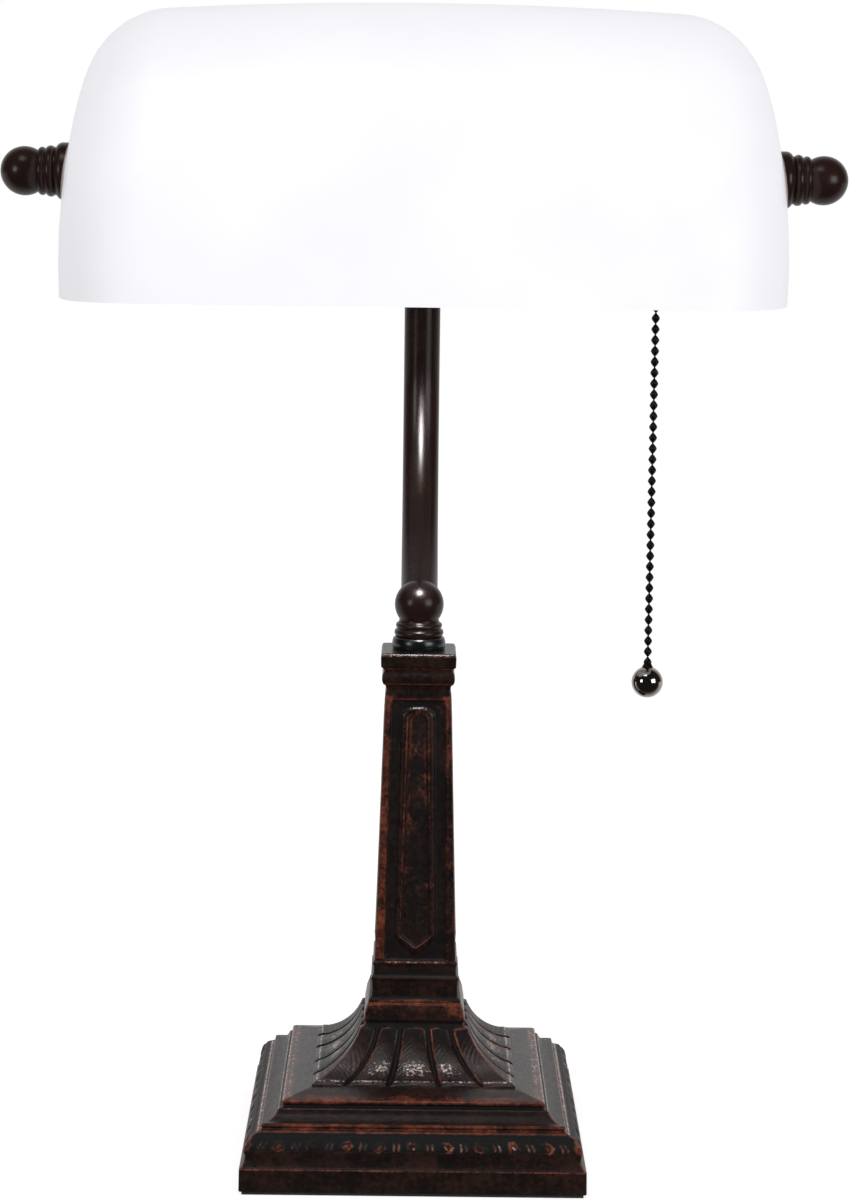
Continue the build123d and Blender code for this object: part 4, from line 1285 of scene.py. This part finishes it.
        on_shaft = within(self.shaft, height)
        border = ease(0.2, -0.3, to_side) * on_shaft
        left = ease(0.2, -0.2, share)
        near_top = ease(*self.near_top, height)
        right_wear = 0.4 + 0.3 * ease(*self.right_side, height)
        fade = 0.55 + 0.25 * ease(*self.brighten, height)
        foot_line = bump_at(height - low + 0.6, 0.42) * ease(-0.6, 0.4, to_side)
        head_line = bump_at(height - high - 0.3, 0.4) * ease(-1.2, -0.2, to_side)
        bow = ease(0.3, -0.2, height - self.bow[0] - self.bow[1] * (1 - share ** 2))
        wear = strongest(
            border * np.where(left > 0.5, 0.74, right_wear),
            0.6 * bump_at(to_side - 0.05, 0.25) * on_shaft,
            rim * in_field * (0.44 + 0.2 * left + 0.35 * near_top),
            in_strip * in_field * bump_at(to_strip - 0.6, 0.9) * (0.4 + 0.25 * near_top),
            np.maximum(bead, 0.6 * raised) * in_field * 0.55 * fade,
            in_field * (0.2 + 0.12 * in_strip),
            0.75 * bump_at(to_strip + 0.5, 0.3) * ease(*self.point_end, height) * in_field,
            0.8 * foot_line, 0.7 * head_line, 0.9 * bow)
        crest = rim * ease(*self.crest, height) * in_field
        # Pale specks on the field's lower lip, the strip's crest and the head line, partly
        # painted glints.
        bare_and_glint = strongest(0.75 * foot_line, 0.6 * crest, 0.3 * head_line)
        sunk = np.maximum(0.5 * (1 - raised * in_field), 0.55 * in_strip)
        ledges = strongest(*(bump_at(height - at, width) for at, width in self.ledges))
        return Relief(carved, wear, np.maximum(in_field * sunk, 0.9 * ledges * (1 - bow)), bare_and_glint)


# ---- Turned pieces: ball, knobs, collars and the arm

def ball_outline(centre: float, radius: float, start: float, count: int) -> np.ndarray:
    """Outline of a ball up to its upper pole, from an angle that is pi at the lower one."""
    angle = np.linspace(start, 0, count)
    outline = np.stack([radius * np.sin(angle), centre + radius * np.cos(angle)], axis=1)
    outline[outline[:, 0] < SAME, 0] = 0
    return outline


@dataclass
class BallOnRings:
    """Ball on a short neck and two rings, as on the column and at both ends of the hood.

    Attributes:
        radius: Radius of the ball.
        upper: Heights of the upper ring's lower and upper end above the seat.
        rings: Radius of the lower and of the upper ring.
        neck: Radius of the neck under the ball.
        columns: Number of columns round the axis.
    """

    radius: float
    upper: Point
    rings: Point = (7.75, 7.3)
    neck: float = 6.25
    columns: int = 128

    def surface(self, seat: float, top: float) -> Surface:
        """The piece, upright on the turning axis.

        Args:
            seat: Where the lower ring stands.
            top: Top of the ball.

        Returns:
            The surface.
        """
        wide, narrow = self.rings
        low, high = (seat + rise for rise in self.upper)
        centre = top - self.radius
        join = centre - np.sqrt(self.radius ** 2 - self.neck ** 2)
        pen = Pen(0, seat).line(wide - 0.75, seat)
        pen.arc((wide, (seat + low) / 2), (wide - 0.7, low - 0.1), 10)
        pen.line(narrow - 0.6, low + 0.1)
        pen.arc((narrow, (low + high) / 2), (narrow - 0.7, high), 9)
        pen.line(self.neck, min(high + 0.5, join - 0.05))
        start = np.pi - asin(self.neck / self.radius)
        pen.through(ball_outline(centre, self.radius, start, 40))
        return turned(pen.points(), self.columns)


@dataclass
class Stand:
    """Everything that stands still: base, column, collar, ball and arm.

    Attributes:
        collar_radius: Radius of the collar under the ball.
        ball: Shape of the ball and its rings.
        arm_lean: Slope of the arm where it leaves the ball, in degrees from upright.
        arm_back: Distance of the arm's upright stretch behind the stem.
        arm_top_radius: Radius of the arm's upper bend.
        arm_tail: Straight stretch of the arm before the hood's strap.
        arm_start: How deep the arm starts inside the ball.
        arm_neck: Straight stretch of the arm outside the ball.
        arm_coat: How much thicker the arm's coated tube is than the plain one, on its radius.
    """

    collar_radius: float = 8.4
    ball: BallOnRings = field(default_factory=lambda: BallOnRings(7.7, (2.5, 4.4)))
    arm_lean: float = 55.5
    arm_back: float = 42.0
    arm_top_radius: float = 29.0
    arm_tail: float = 3.0
    arm_start: float = 2.1
    arm_neck: float = 1.3
    arm_coat: float = 0.8

    def build(self, shelf: Shelf) -> None:
        """Makes every piece of the stand."""
        for part in (BaseSlab(), BaseMoulding(), LeafFoot(), Column()):
            part.build(shelf)
        self.build_collar(shelf)
        self.build_ball(shelf)
        self.build_arm(shelf)

    def build_collar(self, shelf: Shelf) -> None:
        """Turned collar on the capital: a foot, a rounded belly and a step up to the rings."""
        low, high = (corner[2] for corner in size_of("seat_collar"))
        wide = self.collar_radius
        pen = Pen(0, low).line(wide - 0.3, low)
        pen.arc((wide, (low + high) / 2), (wide - 0.35, high - 0.5), 12)
        outline = pen.soft(0.3, 3, (wide - 0.9, high), (0, high)).points()
        surfaces = [turned(outline)]
        shelf.add("seat_collar_turned", surfaces, Slot.BLACK_ENAMEL, "stand", "seat_collar")

    def build_ball(self, shelf: Shelf) -> None:
        """Ball finial on its two rings."""
        low, high = (corner[2] for corner in size_of("arm_ball"))
        surfaces = [self.ball.surface(low, high)]
        shelf.add("arm_ball_turned", surfaces, Slot.BRONZE_ENAMEL, "stand", "arm_ball")

    def arm_path(self) -> np.ndarray:
        """Centre line of the arm, (y, z): out of the ball, a wide bow up and back, then over."""
        back, top = self.arm_back, self.arm_top_radius
        lean = radians(self.arm_lean)
        way = np.array([sin(lean), cos(lean)])
        centre = np.array([0, size_of("arm_ball")[1][2] - self.ball.radius])
        start = centre + way * self.arm_start
        bow_start = centre + way * (self.ball.radius + self.arm_neck)
        bow = (back - bow_start[0]) / (1 - cos(lean))
        bow_end = bow_start[1] + bow * sin(lean)
        bow_middle = (back - bow * (1 - cos(lean / 2)), bow_end - bow * sin(lean / 2))
        strap_low, strap_high = size_of("shade_bracket")
        pivot = (strap_low[2] + strap_high[2]) / 2
        slant = top * np.sqrt(0.5)
        inner = back - top
        pen = Pen(*start).line(*bow_start, 6).arc(bow_middle, (back, bow_end), 60)
        pen.line(back, pivot - top, 12)
        pen.arc((inner + slant, pivot - top + slant), (inner, pivot), 32)
        return pen.line(inner - self.arm_tail, pivot, 2).points()

    def build_arm(self, shelf: Shelf) -> None:
        """Gooseneck arm."""
        low, high = size_of("gooseneck_arm")
        surfaces = [tube(self.arm_path(), (high[0] - low[0]) / 2 + self.arm_coat)]
        shelf.add("gooseneck_tube", surfaces, Slot.BRONZE_ENAMEL, "stand", "gooseneck_arm")


# ---- Hood: knobs at its ends

class Side(Enum):
    """The two ends of the hood, by the direction of their outer side along X."""

    LEFT = -1.0
    RIGHT = 1.0

    @property
    def turn(self) -> np.ndarray:
        """Matrix that turns +Z outwards along the pivot line."""
        return np.array([[0.0, 0.0, self.value], [0.0, 1.0, 0.0], [-self.value, 0.0, 0.0]])


@dataclass
class HoodEnds:
    """Knobs at both ends of the hood.

    Attributes:
        knob: Shape of a knob.
    """

    knob: BallOnRings = field(default_factory=lambda: BallOnRings(7.45, (2.75, 5.05)))

    def build(self, shelf: Shelf) -> None:
        """Makes both knobs, each turned about the pivot line."""
        for side in Side:
            node = side.name.lower() + "_knob"
            low, high = size_of(node)
            inner, outer = sorted((abs(low[0]), abs(high[0])))
            _, y, z = (low + high) / 2
            surfaces = [self.knob.surface(inner, outer).moved((0, y, z), side.turn)]
            shelf.add(node + "_turned", surfaces, Slot.BRONZE_ENAMEL, node, node)


# ---- Pull chain

@dataclass
class PullChain:
    """Bead chain with a ball at its end.

    Attributes:
        bead_radius: Radius of a bead.
        bead_reach: Half height of a bead.
        bead_power: Power of a bead's outline: 2 is an ellipse, 1 a double cone.
        wire_radius: Radius of the wire between two beads.
        pitch: Distance between two beads.
        columns: Number of columns round a bead, the wire and the cone.
    """

    bead_radius: float = 1.27
    bead_reach: float = 1.62
    bead_power: float = 1.35
    wire_radius: float = 0.26
    pitch: float = 3.27
    columns: Tuple[int, int, int] = (20, 10, 48)

    def build(self, shelf: Shelf) -> None:
        """Makes the chain, its connector and the ball."""
        low, high = size_of("pull_chain")
        x, y, _ = (low + high) / 2
        count = int(round((high[2] - low[2] - 2 * self.bead_radius) / self.pitch)) + 1
        lowest = low[2] + self.bead_radius
        bead = self.bead_outline()
        beads = [turned(bead + (0, lowest + self.pitch * number), self.columns[0])
                 for number in range(count)]
        wire = Pen(0, lowest).line(self.wire_radius, lowest).line(self.wire_radius, high[2])
        parts = beads + [turned(wire.line(0, high[2]).points(), self.columns[1])]
        surfaces = [part.moved((x, y, 0)) for part in parts]
        shelf.add("bead_chain", surfaces, Slot.BLACK_CHAIN, "chain", "pull_chain")
        self.build_ball(shelf)

    def bead_outline(self) -> np.ndarray:
        """Outline of a bead from pole to pole.

        The two shares of the radius and the half height, each raised to the power, add up to 1
        all along it, so it lies between an ellipse and a double cone.
        """
        angle = np.linspace(np.pi, 0, 17)
        root = 2 / self.bead_power
        out = np.abs(np.sin(angle)) ** root
        along = np.sign(np.cos(angle)) * np.abs(np.cos(angle)) ** root
        outline = np.stack([self.bead_radius * out, self.bead_reach * along], axis=1)
        outline[[0, -1], 0] = 0
        return outline

    def build_ball(self, shelf: Shelf) -> None:
        """Polished ball and the small cone that holds the last bead."""
        low, high = size_of("pull_ball")
        centre, top = (low + high) / 2, high[2]
        outline = ball_outline(0.0, (top - low[2]) / 2, np.pi, 49)
        surfaces = [turned(outline).moved(centre)]
        shelf.add("pull_ball_polished", surfaces, Slot.BLACK_NICKEL, "chain", "pull_ball")
        cone = Pen(0, top - 0.9).soft(0.3, 3, (1.9, top - 0.9), (1.75, top - 0.3),
                                      (1.3, top + 0.6), (0.5, top + 2.3), (0, top + 2.5))
        surfaces = [turned(cone.points(), self.columns[2]).moved((centre[0], centre[1], 0))]
        shelf.add("chain_cone", surfaces, Slot.BLACK_CHAIN, "chain", "chain_connector")


# ---- Studio

@dataclass(frozen=True)
class Lamp:
    """One soft box, or a small reflector card that shows only in gloss.

    Attributes:
        name: Name of the lamp.
        azimuth: Direction seen from the lamp's aim: 0 is the front, 90 the right, in degrees.
        elevation: Height above the horizon, in degrees.
        distance: Distance from the aim in metres.
        size: Width and height of the box in metres.
        power: Power in watts.
        aim: Place it is turned to, in metres.
        card: Spread of a card in degrees; 0 for a soft box.
    """

    name: str
    azimuth: float
    elevation: float
    distance: float
    size: Point
    power: float
    aim: Tuple[float, float, float] = (0.0, 0.0, 0.18)
    card: float = 0.0

    def build(self) -> None:
        """Makes the lamp and turns it towards its aim."""
        data = bpy.data.lights.new(self.name, "AREA")
        data.shape = "RECTANGLE"
        data.size, data.size_y = self.size
        data.energy = self.power
        lamp = linked(self.name, data)
        a, e = radians(self.azimuth), radians(self.elevation)
        way = Vector((sin(a) * cos(e), -cos(a) * cos(e), sin(e)))
        lamp.location = Vector(self.aim) + way * self.distance
        lamp.rotation_euler = (-way).to_track_quat("-Z", "Y").to_euler()
        if self.card:
            data.spread = radians(self.card)
            lamp.visible_camera = lamp.visible_diffuse = False


@dataclass
class Studio:
    """White floor and backdrop, soft boxes and the camera.

    Attributes:
        eye: Place of the camera in metres.
        yaw: Its turn to the left of straight ahead, in degrees.
        pitch: Its tilt above the horizon, in degrees.
        roll: Its turn about its own line of sight, in degrees.
        lens: Focal length in millimetres on a 36 mm sensor.
        clip: Nearest and farthest distance that the camera sees, in metres.
        floor_half: Half of the floor's edge in metres.
        floor_light: Brightness that the floor gives out itself, as the camera sees it.
        floor_white: Share of the lamps' light that the floor adds to it.
        ambient: Brightness of the surroundings as they light the object.
        behind_object: Brightness of backdrop and floor behind the object, as gloss shows them.
        behind_camera: Brightness of the room behind the camera, as gloss shows it.
        floor_ramp: Where along Y, in metres, the mirrored floor goes from dark to bright.
        world_ramp: The same for the surroundings, as the y of the direction.
        lamps: The soft boxes and the cards.
    """

    eye: Tuple[float, float, float] = (-0.002426, -0.888416, 0.302644)
    yaw: float = -0.271
    pitch: float = -8.0877
    roll: float = 0.7208
    lens: float = 85.6
    clip: Point = (0.01, 50.0)
    floor_half: float = 4.0
    floor_light: float = 0.72
    floor_white: float = 0.5
    ambient: float = 0.62
    behind_object: float = 0.8
    behind_camera: float = 0.02
    floor_ramp: Point = (-0.1, 0.1)
    world_ramp: Point = (0.2, 0.85)
    lamps: Tuple[Lamp, ...] = (
        Lamp("top_box", -24, 60, 1.3, (0.5, 0.4), 2.0),
        Lamp("left_box", -45, 12, 1.2, (0.28, 0.34), 2.2),
        Lamp("right_box", 45, 12, 1.2, (0.58, 0.48), 4.4),
        Lamp("arm_card", 0, 28, 0.07, (0.1, 0.018), 0.022, (0.0, 0.034, 0.225), 30),
        Lamp("ball_card", 1, 59, 0.06, (0.018, 0.018), 0.012, (0.0, 0.0, 0.1756), 50),
        Lamp("leaf_card", 0, 86, 0.12, (0.09, 0.01), 0.0005, (0.0, -0.027, 0.033), 18),
    )

    def build(self) -> None:
        """Makes the studio."""
        self.build_floor()
        self.build_world()
        for lamp in self.lamps:
            lamp.build()
        self.build_camera()

    def build_floor(self) -> None:
        """Plain floor: mostly its own white, so that the rest keeps the object's soft shadow."""
        half = self.floor_half
        corners = [(-half, -half, 0.0), (half, -half, 0.0), (half, half, 0.0), (-half, half, 0.0)]
        mesh = bpy.data.meshes.new("floor")
        mesh.from_pydata(corners, [], [(0, 1, 2, 3)])
        floor = linked("floor", mesh)
        material = bpy.data.materials.new("floor_white")
        graph = Graph(material)
        camera, glossy, through = self.rays(graph)
        back = self.mirrored(graph.parts(graph.place())[1], self.floor_ramp)
        own = graph.grey(camera.larger(through) * self.floor_light)
        white = {"Color": (self.floor_white,) * 3 + (1,)}
        both = graph.shader("ShaderNodeAddShader", {
            0: graph.shader("ShaderNodeBsdfDiffuse", white),
            1: graph.shader("ShaderNodeEmission", {"Color": own}),
        })
        room = graph.shader("ShaderNodeEmission", {"Color": graph.grey(back)})
        graph.show(graph.shader("ShaderNodeMixShader", {0: glossy, 1: both, 2: room}))
        mesh.materials.append(material)

    def rays(self, graph: Graph) -> List[Num]:
        """1 for what the camera sees straight, in gloss and through glass, each on its own."""
        path = graph.node("ShaderNodeLightPath")
        names = ("Is Camera Ray", "Is Glossy Ray", "Is Transmission Ray")
        return [Num(graph, path.outputs[name]) for name in names]

    def mirrored(self, way: Num, ramp: Point) -> Num:
        """What gloss shows: dark towards the camera's side and bright behind the object."""
        return way.eased(*ramp, self.behind_camera, self.behind_object)

    def build_world(self) -> None:
        """White backdrop, with the room as gloss shows it and an even light for the rest."""
        world = bpy.data.worlds.new("studio")
        bpy.context.scene.world = world
        graph = Graph(world)
        camera, glossy, through = self.rays(graph)
        way = graph.node("ShaderNodeTexCoord").outputs["Generated"]
        back = self.mirrored(graph.parts(way)[1], self.world_ramp)
        plain = 1 - camera.larger(glossy).larger(through)
        level = camera.larger(through).larger(glossy * back) + plain * self.ambient
        values = {"Color": graph.grey(level), "Strength": 1.0}
        graph.show(graph.shader("ShaderNodeBackground", values), "ShaderNodeOutputWorld")

    def build_camera(self) -> None:
        """Camera in front of the lamp, slightly above its middle and looking a little down."""
        data = bpy.data.cameras.new("camera")
        data.lens = self.lens
        data.clip_start, data.clip_end = self.clip
        camera = linked("camera", data)
        yaw, tilt, roll = radians(self.yaw), radians(self.pitch), radians(self.roll)
        ahead = Vector((-sin(yaw) * cos(tilt), cos(yaw) * cos(tilt), sin(tilt)))
        right_level = ahead.cross(Vector((0, 0, 1))).normalized()
        up_level = right_level.cross(ahead)
        right = cos(roll) * right_level + sin(roll) * up_level
        up = right.cross(ahead)
        axes = Matrix((right, up, -ahead)).transposed().to_4x4()
        camera.matrix_world = Matrix.Translation(Vector(self.eye)) @ axes
        bpy.context.scene.camera = camera
        bpy.context.scene.view_settings.view_transform = "Standard"


def main() -> None:
    """Builds the lamp and the studio and reports each piece."""
    logging.basicConfig(level=logging.INFO, format="%(name)s: %(message)s")
    shelf = Shelf()
    for assembly in (Stand(), HoodEnds(), PullChain()):
        assembly.build(shelf)
    shelf.dress_frame()
    Studio().build()


if __name__ == "__main__":
    main()
